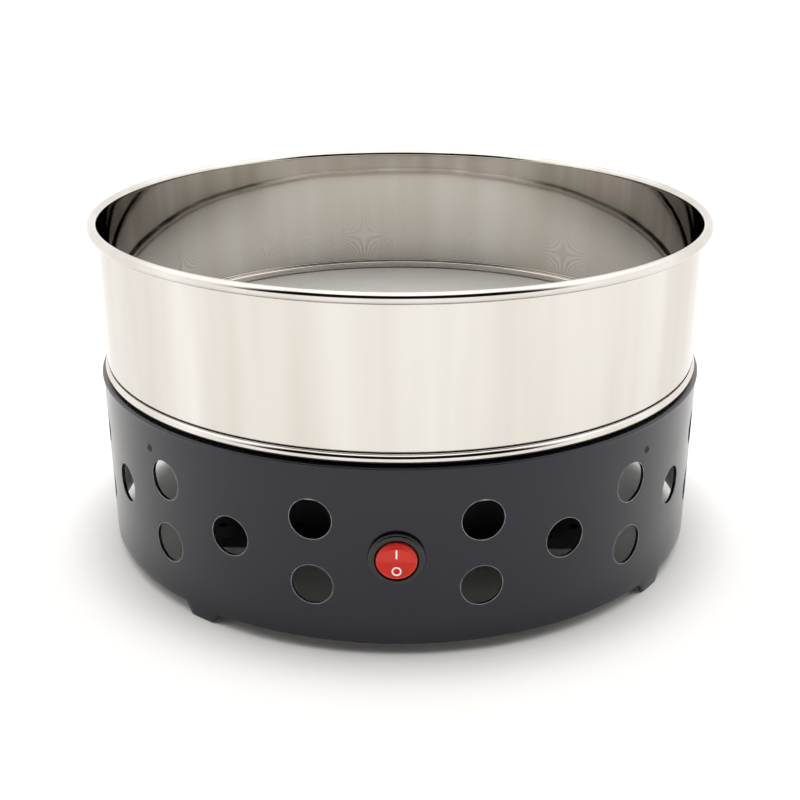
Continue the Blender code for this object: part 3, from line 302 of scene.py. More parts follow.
def put(name, shape, material, body, stands_for=(), crease=40):
    """Puts a closed shape into the scene as a piece that rides on a body.

    Doubled points at poles are merged and the faces are turned outwards. An edge that bends more
    than crease degrees stays sharp.
    """
    points, faces = shape
    parts = faces if isinstance(faces, list) else [faces]
    mesh = bpy.data.meshes.new(name)
    mesh.from_pydata(points.tolist(), [], [face for part in parts for face in part.tolist()])
    work = bmesh.new()
    work.from_mesh(mesh)
    bmesh.ops.remove_doubles(work, verts=work.verts, dist=0.0005 * MM)
    bmesh.ops.dissolve_degenerate(work, edges=work.edges, dist=0.0002 * MM)
    bmesh.ops.recalc_face_normals(work, faces=work.faces)
    work.to_mesh(mesh)
    work.free()
    mesh.shade_smooth()
    mesh.set_sharp_from_angle(angle=math.radians(crease))
    mesh.materials.append(material)
    piece = bpy.data.objects.new(name, mesh)
    bpy.context.scene.collection.objects.link(piece)
    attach(piece, body)
    if stands_for:
        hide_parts(*stands_for)
    print(f"{name}: {len(mesh.polygons)} faces")
    return piece


def radius_of(node):
    """The outer radius of a turned CAD node on the main axis."""
    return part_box(node)[1].x


# %% [markdown]
# ## Camera
#
# A cooler like this is shown from a little above, close enough that the tray's ellipse is open and
# the rows of vents curve. A 57 mm lens at just over half a metre does that. The camera stands a
# fraction of a degree to the right, as nobody places an object dead straight. A small shift
# centres the picture.

# %% Camera
CAMERA_DISTANCE = 0.5572
CAMERA_HEIGHT = 0.2743
CAMERA_AZIMUTH = math.radians(0.54)
CAMERA_PITCH = math.radians(22.55)
CAMERA_LENS = 56.72
CAMERA_SHIFT = 0.0284

camera_data = bpy.data.cameras.new("camera")
camera_data.sensor_width = 36.0
camera_data.lens = CAMERA_LENS
camera_data.shift_y = CAMERA_SHIFT
camera = bpy.data.objects.new("camera", camera_data)
bpy.context.scene.collection.objects.link(camera)
aim = Matrix.Rotation(CAMERA_AZIMUTH, 4, "Z") @ Matrix.Rotation(math.pi / 2 - CAMERA_PITCH, 4, "X")
camera.matrix_world = (
    Matrix.Translation((
        CAMERA_DISTANCE * math.sin(CAMERA_AZIMUTH),
        -CAMERA_DISTANCE * math.cos(CAMERA_AZIMUTH),
        CAMERA_HEIGHT,
    )) @ aim
)
bpy.context.scene.camera = camera
print("camera at", [round(c, 3) for c in camera.location])

# %% [markdown]
# ## Polished stainless steel
#
# The tray is 304 stainless sheet with a bright, nearly mirror polish. What it gives the eye is
# mostly its surroundings: white floor on the outside, and the sieve seen again and again on the
# inside, a little warmer and darker with every bounce. A rolled sheet is never quite flat, so a
# broad, shallow bump bends those reflections. Fine polishing lines run round it, and wiping marks
# run down it as slow pale and dark streaks.

# %% Polished stainless steel
polished, tree, shader = new_material("polished stainless sheet", "#CDCAC6", 0.04, 1.0)
# The tint of the far edge keeps the rim a shade darker than the white room behind it.
shader.inputs["Specular Tint"].default_value = hex_colour("#ECEBEA")
place = place_of(tree)
# Polishing lines are finer than 0.1 mm; they are drawn 0.6 mm apart so that they show.
lines = add(tree, "ShaderNodeMapping", {"Vector": place, "Scale": (12.0, 12.0, 1600.0)})
grain = noise_of(tree, lines.outputs[0], 1.0, 3.0)
tree.links.new(ramp(tree, grain, (0.3, 0.7), (0.02, 0.06)), shader.inputs["Roughness"])
# Wiping marks are 20 to 40 mm wide and run from the rim to the bead.
down = add(tree, "ShaderNodeMapping", {"Vector": place, "Scale": (32.0, 32.0, 2.5)})
streaks = noise_of(tree, down.outputs[0], 1.0, 3.0)
colour_between(tree, shader, ramp(tree, streaks, (0.35, 0.65)), "#C6C1BA", "#D6D3CF")
# Rolling leaves waves about 60 mm long and a tenth of a millimetre deep.
bumps(tree, shader, noise_of(tree, place, 17.0, 1.0), 0.25, 0.6 * MM)

# %% [markdown]
# ## Tray wall
#
# One strip of sheet makes the rim, the wall, the bead and the skirt. The rim is curled outwards
# over itself so that there is no sharp edge, the bead rests on the base, and the skirt drops into
# its mouth. It could be cut from solids, but a sheet is one line with a thickness, so the line is
# drawn once and carried round the axis.

# %% Tray wall
TRAY_SHEET = 0.6 * MM
RIM_DIAMETER = 4.6 * MM
BEAD_DIAMETER = 4.4 * MM
BEAD_PROUD = 1.2 * MM
NECK_RADIUS = 0.495 * MM
NECK_RISE = 1.5 * MM  # from the top of the bead to the neck
SKIRT_STEP = 0.6 * MM  # from the bead down to where the skirt hangs straight
RING_SEGMENTS = 288

tray_low, tray_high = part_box("tray_wall")
rim_outer = tray_high.x
wall_outer = rim_outer - RIM_DIAMETER + TRAY_SHEET
rim_centre = (rim_outer - RIM_DIAMETER / 2, tray_high.z - RIM_DIAMETER / 2)
bead_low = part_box("base_shell")[1].z + GAP
bead_centre = (wall_outer + BEAD_PROUD - BEAD_DIAMETER / 2, bead_low + BEAD_DIAMETER / 2)


def tray_path():
    """The middle of the sheet: the rim's curl, straight down, in at the crease, round the bead, down."""
    half = TRAY_SHEET / 2
    rim = RIM_DIAMETER / 2 - half
    bead = BEAD_DIAMETER / 2 - half
    wall = wall_outer - half
    curl = arc(rim_centre, rim, -125, 180, 40)
    crease_top = bead_centre[1] + bead + NECK_RISE
    drop = np.stack([np.full(5, wall), np.linspace(rim_centre[1] - MM, crease_top + 0.5 * MM, 5)], -1)
    neck = arc((wall - NECK_RADIUS, crease_top), NECK_RADIUS, 0, -60, 6)
    round_bead = arc(bead_centre, bead, 72, -90, 22)
    skirt = wall_outer + BEAD_PROUD - BEAD_DIAMETER / 2 - half
    end = np.array([[skirt, bead_centre[1] - bead - SKIRT_STEP], [skirt, tray_low.z + half]])
    return np.concatenate([curl, drop, neck, round_bead, end])


put(
    "tray_sheet", turned(sheet_outline(tray_path(), TRAY_SHEET), RING_SEGMENTS), polished,
    "tray", ["tray_wall"], crease=60,
)

# %% [markdown]
# ## Crease
#
# Between the wall and the bead runs a narrow crease, which lies in deep shade. A thin black ring
# is laid in it as painted shade, so it shows as a fine dark line all the way round.

# %% Crease
# Painted shade: a near-black finish for the ring that stands for the shade in the crease.
crease_shade, tree, shader = grained("black painted crease shade", "#060505", 0.8, 1500.0, 2.0, (0.3, 0.0001))
shader.inputs["Specular IOR Level"].default_value = 0.1

# The ring of painted shade is a thin round wire in the crease, just above the bead.
SHADE_RING_RADIUS = 0.36 * MM
SHADE_RING_RISE = 0.25 * MM  # above the top of the bead
shade_ring_centre = (wall_outer - SHADE_RING_RADIUS, bead_centre[1] + BEAD_DIAMETER / 2 + SHADE_RING_RISE)
shade_ring_outline = arc(shade_ring_centre, SHADE_RING_RADIUS, 0, 360, 12)[:-1]
put("crease_painted_shade", turned(shade_ring_outline, RING_SEGMENTS), crease_shade, "tray")

# %% [markdown]
# ## Sieve rings
#
# The sieve's edge is held between two rings of the same sheet. The upper one shows as a pale band
# round the floor of the tray, so its edges are rounded to catch the light.

# %% Sieve rings
SIEVE_RING_WIDTH = 2.4 * MM
SIEVE_RING_EDGE = 0.7 * MM
for name in ("mesh_clamp_ring", "mesh_support_ring"):
    low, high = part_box(name)
    inner = high.x - SIEVE_RING_WIDTH
    corners = [(inner, low.z), (high.x, low.z), (high.x, high.z), (inner, high.z)]
    outline = rounded(corners, min(SIEVE_RING_EDGE, 0.45 * (high.z - low.z)), 6)
    put(name + "_rolled", turned(outline, RING_SEGMENTS), polished, "tray", [name])

# %% [markdown]
# ## Woven wire sieve
#
# Thin steel wires cross over and under each other about every millimetre. Modelled one by one they
# would be hundreds of wires with thousands of bends, so the floor is one thin disc and the weave is
# in its material: two sets of round wires as height, and open gaps between them as alpha.

# %% Woven wire
# Round wires send the eye light from all over the sky, as a matt surface does, so the shader is
# only slightly metallic.
woven, tree, shader = new_material("woven stainless wire", "#E2E1DE", 0.45, 0.15)
WIRE_SPACING = 1.05 * MM
# The weave lies at an angle to the switch, as it was cut from the roll without a mark.
turned_weave = add(tree, "ShaderNodeMapping", {
    "Vector": place_of(tree), "Rotation": (0.0, 0.0, math.radians(74)),
})
across = add(tree, "ShaderNodeSeparateXYZ", {"Vector": turned_weave.outputs[0]})
heights = []
for axis in ("X", "Y"):
    phase = add(tree, "ShaderNodeMath", {
        0: across.outputs[axis], 1: 2 * math.pi / WIRE_SPACING,
    }, operation="MULTIPLY")
    heights.append(add(tree, "ShaderNodeMath", {0: phase.outputs[0]}, operation="COSINE").outputs[0])
top = add(tree, "ShaderNodeMath", {0: heights[0], 1: heights[1]}, operation="MAXIMUM").outputs[0]
gap = ramp(tree, top, (-0.45, -0.30))
# Seen at a slant the wires hide the gaps between them.
slant = add(tree, "ShaderNodeLayerWeight", {"Blend": 0.5})
closing = ramp(tree, slant.outputs["Facing"], (0.35, 0.75))
cover = add(tree, "ShaderNodeMath", {0: gap, 1: closing}, operation="MAXIMUM")
tree.links.new(cover.outputs[0], shader.inputs["Alpha"])
# Painted shade: the wires' colour darkens from their crowns down towards the gaps between them.
colour_between(tree, shader, ramp(tree, top, (-0.8, 0.9)), "#A9A6A1", "#F4F2EE")
bumps(tree, shader, top, 0.30, 0.2 * MM)

low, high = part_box("sieve_mesh")
outline = [(0, high.z), (high.x, high.z), (high.x, low.z), (0, low.z)]
put("sieve_disc", turned(outline, 128, False), woven, "tray", ["sieve_mesh"])

# %% [markdown]
# ## Charcoal powder coat
#
# The base is sheet steel, sprayed with charcoal powder and baked. The paint is nearly black, and
# what the eye reads as grey is the white room in its satin skin: faint when seen square on, and
# strong at the sides, where the surface turns away. Baked powder has a fine orange peel.

# %% Charcoal powder coat
# Orange peel in powder coat is about 1 mm from bump to bump.
charcoal, tree, shader = grained("charcoal powder coat", "#111117", 0.20, 900.0, 2.0, (0.12, 0.0002))
shader.inputs["Specular Tint"].default_value = hex_colour("#E9E9F6")
cloud = noise_of(tree, place_of(tree), 24.0, 4.0)
tree.links.new(ramp(tree, cloud, (0.3, 0.7), (0.15, 0.24)), shader.inputs["Roughness"])

# %% [markdown]
# ## Base shell
#
# The shell is a strip of 1.5 mm sheet, punched with vents while flat and then rolled. A cut with
# Boolean cylinders would leave long thin triangles that shade badly on a satin curve. Instead the
# strip is made as a grid round the axis, and every vent takes the place of a block of grid cells:
# rings of faces run from the block's border to a circle, through the thickness over small rounded
# lips, and out to the same border on the inside.

# %% Base shell
WALL = 1.5 * MM
LIP = 0.28 * MM
shell_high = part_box("base_shell")[1]
hem_radius = shell_high.x
HEM_PROUD = 0.5 * MM
HEM_HEIGHT = 1.3 * MM
HEM_RUN = 1.2 * MM  # plain wall just below the hem
SHELL_TAPER = 0.3 * MM
top_radius = hem_radius - HEM_PROUD
foot_radius = top_radius - SHELL_TAPER
# Outside the ring come a gap, the tray's skirt and another gap.
mouth_radius = radius_of("mesh_clamp_ring") + TRAY_SHEET + 2 * GAP
EDGE_HEIGHT = 5.2 * MM
VENT_RADIUS = 8.5 * MM
VENT_FIRST, VENT_STEP, VENT_COLUMNS = 14.1, 15.0, 11
VENT_MIDDLE, VENT_SPREAD = shell_high.z - 37.2 * MM, 14.1 * MM
FOOT_AZIMUTHS = (53.4, 143.4, 233.4, 323.4)
FOOT_TOP, FOOT_TIP = 20.2 * MM, 10.8 * MM
# Half the height and half the turn in degrees of the block of cells that each vent replaces.
BLOCK = 9.9 * MM
BLOCK_TURN = 4.2
SWITCH_TURN = 5.6
INLET_TURN = 6.5
SWITCH_HOLE = 10.0 * MM
INLET_HOLE = (10.3 * MM, 14.3 * MM)


def shell_radius(height):
    """Outer radius of the shell, wider at the top by SHELL_TAPER."""
    return foot_radius + (top_radius - foot_radius) * height / (shell_high.z - HEM_HEIGHT)


def lower_edge(azimuth):
    """Height of the shell's lower edge: EDGE_HEIGHT, and down to the table across each foot.

    The foot's side is a smooth step in the distance from the foot's middle.
    """
    height = np.full(azimuth.shape, EDGE_HEIGHT)
    for foot in FOOT_AZIMUTHS:
        turn = (azimuth - foot + 180) % 360 - 180
        distance = np.abs(np.radians(turn)) * foot_radius
        share = np.clip((distance - FOOT_TIP / 2) / ((FOOT_TOP - FOOT_TIP) / 2), 0, 1)
        height = np.minimum(height, EDGE_HEIGHT * share * share * (3 - 2 * share))
    return height


def vents():
    """(azimuth in degrees, height) of each vent."""
    found = []
    for column in range(VENT_COLUMNS):
        spread = (0.0,) if column % 2 else (-VENT_SPREAD, VENT_SPREAD)
        for side in (-1, 1):
            azimuth = side * (VENT_FIRST + column * VENT_STEP) % 360
            found += [(azimuth, VENT_MIDDLE + offset) for offset in spread]
    return found


def azimuth_lines():
    """Where the grid's upright lines stand, in degrees: the borders and inner lines of each vent
    column, finer lines at the feet, and the openings for the switch and the inlet."""
    lines = [np.linspace(-SWITCH_TURN, SWITCH_TURN, 13), 180 + np.linspace(-INLET_TURN, INLET_TURN, 11)]
    for column in range(VENT_COLUMNS):
        middle = VENT_FIRST + column * VENT_STEP
        for side in (-1, 1):
            lines.append(side * (middle + np.linspace(-BLOCK_TURN, BLOCK_TURN, 11)))
            lines.append(side * (middle + np.array([-7.5, -6.4, -5.3, 5.3, 6.4])))
    lines.append(np.array([-8.0, 8.0, 171.5, 188.5]))
    for foot in FOOT_AZIMUTHS:
        lines.append(foot + np.linspace(-4.6, 4.6, 15))
    lines = np.unique(np.round(np.concatenate(lines) % 360, 3))
    keep = np.concatenate([[True], np.diff(lines) > 0.12])
    return lines[keep]


def hem_outline():
    """From the outer wall over the rolled hem to the inner wall, as (radius, height) points."""
    top, low = shell_high.z, shell_high.z - HEM_HEIGHT
    corners = [
        (shell_radius(low), low - HEM_RUN), (shell_radius(low), low), (hem_radius, low),
        (hem_radius, top), (mouth_radius, top), (mouth_radius, top - WALL),
        (shell_radius(low) - WALL, top - WALL), (shell_radius(low) - WALL, low - HEM_RUN),
    ]
    radii = [0, 0.15 * MM, 0.3 * MM, 0.6 * MM, 0.5 * MM, 0.5 * MM, 0.35 * MM, 0]
    return rounded(corners, radii, 5)


def shell_shape():
    """The grid of the shell, closed round the axis and round its own thickness, with its openings."""
    azimuth = azimuth_lines()
    count = len(azimuth)
    edge = lower_edge(azimuth)
    first_level = VENT_MIDDLE - VENT_SPREAD - BLOCK
    borders = [first_level, VENT_MIDDLE - BLOCK, VENT_MIDDLE - VENT_SPREAD + BLOCK,
               VENT_MIDDLE + VENT_SPREAD - BLOCK, VENT_MIDDLE + BLOCK, VENT_MIDDLE + VENT_SPREAD + BLOCK]
    cells = [5, 3, 3, 3, 5]
    levels = [np.linspace(a, b, n + 1)[:-1] for a, b, n in zip(borders, borders[1:], cells)]
    levels = np.concatenate(levels + [[borders[-1]]])
    rounding = arc((LIP, LIP), LIP, 180, 270, 3)

    def wall_rows(side):
        """Rows of one side of the wall from the rounded edge up; side is 0 outside and 1 inside."""
        rows = []
        for inset, rise in rounding[::-1]:
            height = edge + rise
            depth = WALL - inset if side else inset
            rows.append((shell_radius(height) - depth, height))
        for share in (0.25, 0.55, 0.8):
            height = edge + LIP + (first_level - edge - LIP) * share
            rows.append((shell_radius(height) - side * WALL, height))
        for level in levels:
            height = np.full(count, level)
            rows.append((shell_radius(height) - side * WALL, height))
        return rows

    outside, inside = wall_rows(0), wall_rows(1)
    hem = [(np.full(count, r), np.full(count, z)) for r, z in hem_outline()]
    rows = outside + hem + inside[::-1]
    radius = np.stack([r for r, _ in rows])
    height = np.stack([z for _, z in rows])
    turn = np.radians(azimuth)
    points = np.stack([radius * np.sin(turn), -radius * np.cos(turn), height], -1).reshape(-1, 3)
    total = len(rows)
    number = np.arange(total * count).reshape(total, count)
    kept = np.ones((total, count), bool)
    base_row = len(outside) - len(levels)

    def row_of(level, side):
        index = base_row + int(np.argmin(abs(levels - level)))
        return total - 1 - index if side else index

    def column_of(degrees):
        return int(np.argmin(abs((azimuth - degrees + 180) % 360 - 180)))

    extra_points, extra_faces = [], []
    next_number = total * count

    def opening(middle, level, half_turn, low_level, high_level, border):
        """Replaces a block of cells, outside and inside, by rings of faces round an opening.

        border(angle) is the opening's size in the direction of each angle round its middle.
        """
        nonlocal next_number
        left, right = column_of(middle - half_turn), column_of(middle + half_turn)
        columns = (left + np.arange((right - left) % count + 1)) % count
        loops = []
        for side in (0, 1):
            ends = sorted((row_of(low_level, side), row_of(high_level, side)))
            picked = np.arange(ends[0], ends[1] + 1)
            kept[np.ix_(picked[:-1], columns[:-1])] = False
            if side:
                picked = picked[::-1]
            block = number[np.ix_(picked, columns)]
            loops.append(np.concatenate([block[0], block[1:, -1], block[-1, -2::-1], block[-2:0:-1, 0]]))
        around = (azimuth[loops[0] % count] - middle + 180) % 360 - 180
        u = np.radians(around) * top_radius
        v = points[loops[0], 2] - level
        angle = np.arctan2(v, u)
        size = border(angle)
        start = np.hypot(u, v)
        layers = [(start + (size + LIP - start) * share, 0.0) for share in (0.4, 0.75)]
        layers += [(size + LIP - inset, rise) for inset, rise in arc((0, LIP), LIP, -90, 0, 3)]
        layers += [(size, WALL / 2)]
        layers += [(size + LIP - inset, WALL - rise) for inset, rise in arc((0, LIP), LIP, 0, -90, 3)]
        layers += [(start + (size + LIP - start) * share, WALL) for share in (0.75, 0.4)]
        previous = loops[0]
        for reach, depth in layers:
            level_of = level + reach * np.sin(angle)
            a = np.radians(middle) + reach * np.cos(angle) / top_radius
            r = shell_radius(level_of) - depth
            extra_points.append(np.stack([r * np.sin(a), -r * np.cos(a), level_of], -1))
            current = next_number + np.arange(len(angle))
            next_number += len(angle)
            extra_faces.append(band_faces(previous, current))
            previous = current
        extra_faces.append(band_faces(previous, loops[1]))

    def band_faces(one, other):
        """Faces between two loops of equally many point numbers."""
        return np.stack([one, np.roll(one, -1), np.roll(other, -1), other], -1)

    for middle, level in vents():
        opening(middle, level, BLOCK_TURN, level - BLOCK, level + BLOCK, lambda a: 0 * a + VENT_RADIUS)
    switch_level = (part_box("switch_body")[0].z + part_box("switch_body")[1].z) / 2
    opening(
        0.0, switch_level, SWITCH_TURN, VENT_MIDDLE - VENT_SPREAD, VENT_MIDDLE + VENT_SPREAD,
        lambda a: 0 * a + SWITCH_HOLE,
    )
    inlet_low, inlet_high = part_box("inlet_housing")
    inlet_level = (inlet_low.z + inlet_high.z) / 2

    def inlet_border(angle):
        across = INLET_HOLE[0] / np.maximum(abs(np.cos(angle)), 1e-6)
        upright = INLET_HOLE[1] / np.maximum(abs(np.sin(angle)), 1e-6)
        return np.minimum(across, upright)

    opening(180.0, inlet_level, INLET_TURN, first_level, VENT_MIDDLE + VENT_SPREAD + BLOCK, inlet_border)

    quads = grid_faces(total, count, True, True)
    faces = [quads[kept.ravel()]] + extra_faces
    return np.concatenate([points] + extra_points), faces


put("base_drum", shell_shape(), charcoal, "base", ["base_shell"], crease=50)

# %% [markdown]
# ## Vent edges
#
# Powder draws back from a punched edge while it melts, so each vent has a hairline of thin, paler
# paint round it. It could be a texture, but a thread-thin ring bent to the shell catches light too.

# %% Vent edges
thin_paint, tree, shader = new_material("thin paint on an edge", "#8C8C8F", 0.35)
colour_between(tree, shader, noise_of(tree, place_of(tree), 400.0, 2.0), "#4A4A4D", "#C4C4C6")

EDGE_THREAD = 0.13 * MM


def vent_edge(middle, level, around=48, sides=6):
    """A thin ring on the lip of a vent: a small circle carried round the vent's circle, and both
    wrapped round the shell."""
    turn = (np.arange(around) * 2 * math.pi / around)[:, None]
    roll = (np.arange(sides) * 2 * math.pi / sides)[None]
    reach = VENT_RADIUS + 0.3 * LIP + EDGE_THREAD * np.cos(roll)
    depth = 0.3 * LIP + EDGE_THREAD * np.sin(roll)
    height = level + reach * np.sin(turn)
    azimuth = np.radians(middle) + reach * np.cos(turn) / top_radius
    radius = shell_radius(height) - depth
    points = np.stack([radius * np.sin(azimuth), -radius * np.cos(azimuth), height], -1)
    return points.reshape(-1, 3), grid_faces(around, sides, True, True)


edges = joined(*[vent_edge(*vent) for vent in vents()])
put("vent_edges", edges, thin_paint, "base")

# %% [markdown]
# ## Black and red plastic
#
# The switch is moulded: a black bezel with a faint spark-eroded grain, and a glossy red rocker that
# lets a little light into itself; its paler edge is partly that light and partly a painted highlight.
# Its two marks are white paint pressed into the plastic.

# %% Plastics
black_plastic = grained("black moulded plastic", "#0C0C0D", (0.22, 0.36), 1800.0, 2.0, (0.12, 0.0001))[0]

red_lens, tree, shader = grained("red translucent plastic", "#D01A0A", (0.11, 0.22), 260.0, 2.0)
shader.inputs["Specular IOR Level"].default_value = 0.2
shader.inputs["Subsurface Weight"].default_value = 0.35
shader.inputs["Subsurface Radius"].default_value = (0.004, 0.0012, 0.0010)
shader.inputs["Subsurface Scale"].default_value = 0.5
# Painted light: the lens's colour turns paler towards its rim than on its face, for light caught inside the
# plastic.
painted_edge_light = add(tree, "ShaderNodeLayerWeight", {"Blend": 0.35})
colour_between(tree, shader, painted_edge_light.outputs["Facing"], "#D01A0A", "#E0685C")

white_mark = grained("white mark paint", "#FFFAF6", 0.4, 2500.0, 2.0, (0.15, 0.0001))[0]

# %% [markdown]
# ## Rocker switch
#
# A round panel switch: a bezel on a barrel, and a rocker that tips on a pin just behind the bezel's
# face. The rocker's top is two flat halves that meet in a shallow valley, and its side is part of
# a ball about the pivot, so that it clears the well however it tips. Drawing it flat in its own
# frame and placing it with one matrix keeps the sums simple.

# %% Rocker switch
BEZEL_THICKNESS = 2.2 * MM
BEZEL_OVERHANG = 1.4 * MM
BARREL_WALL = 1.25 * MM
BARREL_FLOOR = 3.0 * MM
ROCKER_PIVOT_DEPTH = 1.0 * MM
ROCKER_FACE = 1.5 * MM
ROCKER_THICKNESS = 6.0 * MM
ROCKER_RADIUS = 8.1 * MM
ROCKER_EDGE = 0.9 * MM
ROCKER_TILT = math.radians(9.0)

body_low, body_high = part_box("switch_body")
bezel_radius = body_high.x
barrel_radius = bezel_radius - BEZEL_OVERHANG
well_radius = barrel_radius - BARREL_WALL
barrel_back = -(body_high.y - body_low.y)
floor_level = barrel_back + BARREL_FLOOR
switch_level = (body_low.z + body_high.z) / 2
switch_frame = Matrix.Translation((0, body_low.y, switch_level)) @ Matrix.Rotation(math.pi / 2, 4, "X")
rocker_frame = (
    switch_frame @ Matrix.Translation((0, 0, -ROCKER_PIVOT_DEPTH)) @ Matrix.Rotation(ROCKER_TILT, 4, "X")
)

corners = [
    (0, barrel_back), (barrel_radius, barrel_back), (barrel_radius, -BEZEL_THICKNESS),
    (bezel_radius, -BEZEL_THICKNESS), (bezel_radius, 0), (well_radius, 0),
    (well_radius, floor_level), (0, floor_level),
]
radii = [0, 0.5 * MM, 0.2 * MM, 0.3 * MM, 1.3 * MM, 0.35 * MM, 0.3 * MM, 0]
bezel = moved(turned(rounded(corners, radii, 8), 96, False), switch_frame)
put("switch_bezel", bezel, black_plastic, "base", ["switch_body"], crease=60)


def rocker_shape(segments=96):
    """Rings of points over the rocker: across its face, over its rounded edge and down its side.

    The face is ROCKER_FACE plus the distance from the valley times the tangent of the tilt, with
    the valley rounded off. Every ring shares the face's slope and drops away from it.
    """
    angle = np.arange(segments) * 2 * math.pi / segments
    across, up = np.cos(angle), np.sin(angle)

    def face_height(radius):
        y = radius * up
        valley = 0.25 * MM
        return ROCKER_FACE + (np.sqrt(y * y + valley * valley) - valley) * math.tan(ROCKER_TILT)

    edge = np.sqrt(ROCKER_RADIUS ** 2 - face_height(ROCKER_RADIUS) ** 2)
    rings = []
    for share in np.linspace(0, 1, 10):
        radius = (edge - ROCKER_EDGE) * share
        rings.append((radius, face_height(radius)))
    for inset, rise in arc((0, 0), ROCKER_EDGE, 90, 0, 8)[1:]:
        radius = edge - ROCKER_EDGE + inset
        rings.append((radius, face_height(edge - ROCKER_EDGE) - ROCKER_EDGE + rise))
    back = ROCKER_FACE - ROCKER_THICKNESS
    top = rings[-1][1]
    for share in np.linspace(0.25, 1, 6):
        height = top + (back - top) * share
        rings.append((np.minimum(edge, np.sqrt(ROCKER_RADIUS ** 2 - height ** 2)), height))
    rings.append((np.zeros(segments), np.full(segments, back)))
    points = np.stack([np.stack([r * across, r * up, z], -1) for r, z in rings])
    return points.reshape(-1, 3), grid_faces(len(rings), segments, False, True)


lens = moved(rocker_shape(), rocker_frame)
put("rocker_lens", lens, red_lens, "rocker", ["switch_rocker"])

MARK_PROUD = 0.05 * MM
MARK_DEPTH = 0.30 * MM
BAR_HALF = (0.32 * MM, 2.35 * MM)
BAR_HEIGHT = 4.2 * MM  # from the valley up to the bar's middle
CIRCLE_RADII = (1.3 * MM, 1.9 * MM)
CIRCLE_DROP = 3.9 * MM  # from the valley down to the circle's middle
bar = rounded(rectangle(*BAR_HALF), 0.15 * MM)
levels = (-MARK_DEPTH, MARK_PROUD)
bar_loops = [np.column_stack([bar, np.full(len(bar), level)]) for level in levels]
upper_half = Matrix.Translation((0, 0, ROCKER_FACE)) @ Matrix.Rotation(ROCKER_TILT, 4, "X")
on_place = rocker_frame @ upper_half @ Matrix.Translation((0, BAR_HEIGHT, 0))
put("on_mark", moved(lofted(bar_loops), on_place), white_mark, "rocker")

inner, outer = CIRCLE_RADII
circle = [(inner, levels[0]), (outer, levels[0]), (outer, levels[1]), (inner, levels[1])]
lower_half = Matrix.Translation((0, 0, ROCKER_FACE)) @ Matrix.Rotation(-ROCKER_TILT, 4, "X")
off_place = rocker_frame @ lower_half @ Matrix.Translation((0, -CIRCLE_DROP, 0))
put("off_mark", moved(turned(circle, 48), off_place), white_mark, "rocker")

# %% [markdown]
# ## Galvanised, zinc-plated and blackened steel
#
# The deck inside is galvanised sheet, with the broad frosty crystals that zinc leaves as it sets.
# The guard and the screws are bright zinc plate, which is smooth but slightly uneven. The small
# screws in the shell are blackened.

# %% Steels
galvanised, tree, shader = new_material("galvanised steel", "#A9ACAF", 0.42, 1.0)
# The crystals are about 6 mm across.
crystal = add(tree, "ShaderNodeTexVoronoi", {"Vector": place_of(tree), "Scale": 160.0})
tone = add(tree, "ShaderNodeSeparateXYZ", {"Vector": crystal.outputs["Color"]})
colour_between(tree, shader, tone.outputs["X"], "#95989C", "#BCBFC1")
dull = ramp(tree, tone.outputs["Y"], (0.0, 1.0), (0.32, 0.52))
tree.links.new(dull, shader.inputs["Roughness"])


def plated(name, colour, smooth, dull):
    """A thin metal plating: fine waves in its height and soft patches in its roughness."""
    return grained(name, colour, (smooth, dull), 420.0, 3.0, (0.15, 0.0001), (0.3, 0.7), 1.0)[0]


zinc = plated("bright zinc plate", "#C9CACB", 0.22, 0.38)
blackened = plated("blackened steel", "#3A3A3D", 0.30, 0.45)
brass = plated("drawn brass", "#D9B36A", 0.22, 0.36)
copper = plated("enamelled copper wire", "#C4703F", 0.24, 0.40)

# %% [markdown]
# ## Deck
#
# The deck hangs in the mouth of the shell and carries the fan. It is pressed from sheet, with its
# edge turned down where the small screws hold it, so its profile is a bent sheet as well.

# %% Deck
DECK_SHEET = 1.2 * MM
DECK_BEND = 1.2 * MM
DUCT_INSET = 6.0 * MM  # from the fan's side to its duct
deck_low, deck_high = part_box("deck_plate")
duct_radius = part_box("fan_frame")[1].x - DUCT_INSET
half_sheet = DECK_SHEET / 2
flange_middle = deck_high.x - half_sheet
path = np.concatenate([
    [(duct_radius + half_sheet, deck_high.z - half_sheet)],
    arc((flange_middle - DECK_BEND, deck_high.z - half_sheet - DECK_BEND), DECK_BEND, 90, 0, 8),
    [(flange_middle, deck_low.z + half_sheet)],
])
deck = turned(sheet_outline(path, DECK_SHEET), 192)
put("pressed_deck", deck, galvanised, "base", ["deck_plate"], crease=50)

# %% [markdown]
# ## Screws
#
# Ten screws hold the deck, the fan and the power inlet. Their heads have cross recesses, which are
# a dip in the height of the dome wherever a point lies in either arm of the cross.

# %% Screws


def screw_shape(head_radius, rise, shank_radius, length, segments=48):
    """A screw with its head's underside at height 0. Rings run from the middle of the dome over its
    edge, under the head and down the shank. The recess is rise * 0.6 deep inside the cross."""
    angle = np.arange(segments) * 2 * math.pi / segments
    rings = []
    for share in np.linspace(0, 0.92, 16):
        radius = head_radius * share
        dome = rise * (1 - 0.35 * share ** 2)
        x, y = abs(radius * np.cos(angle)), abs(radius * np.sin(angle))
        arm = head_radius * 0.13
        tip = head_radius * 0.58
        inside = (np.minimum(x, y) < arm) & (np.maximum(x, y) < tip)
        rings.append((np.full(segments, radius), np.where(inside, dome - rise * 0.6, dome)))
    edge = [
        (head_radius, rise * 0.5), (head_radius, rise * 0.1), (head_radius * 0.97, 0), (shank_radius, 0),
        (shank_radius, -length + shank_radius * 0.5), (shank_radius * 0.6, -length), (0, -length),
    ]
    rings += [(np.full(segments, r), np.full(segments, z)) for r, z in edge]
    points = np.stack([np.stack([r * np.cos(angle), r * np.sin(angle), z], -1) for r, z in rings])
    return points.reshape(-1, 3), grid_faces(len(rings), segments, False, True)


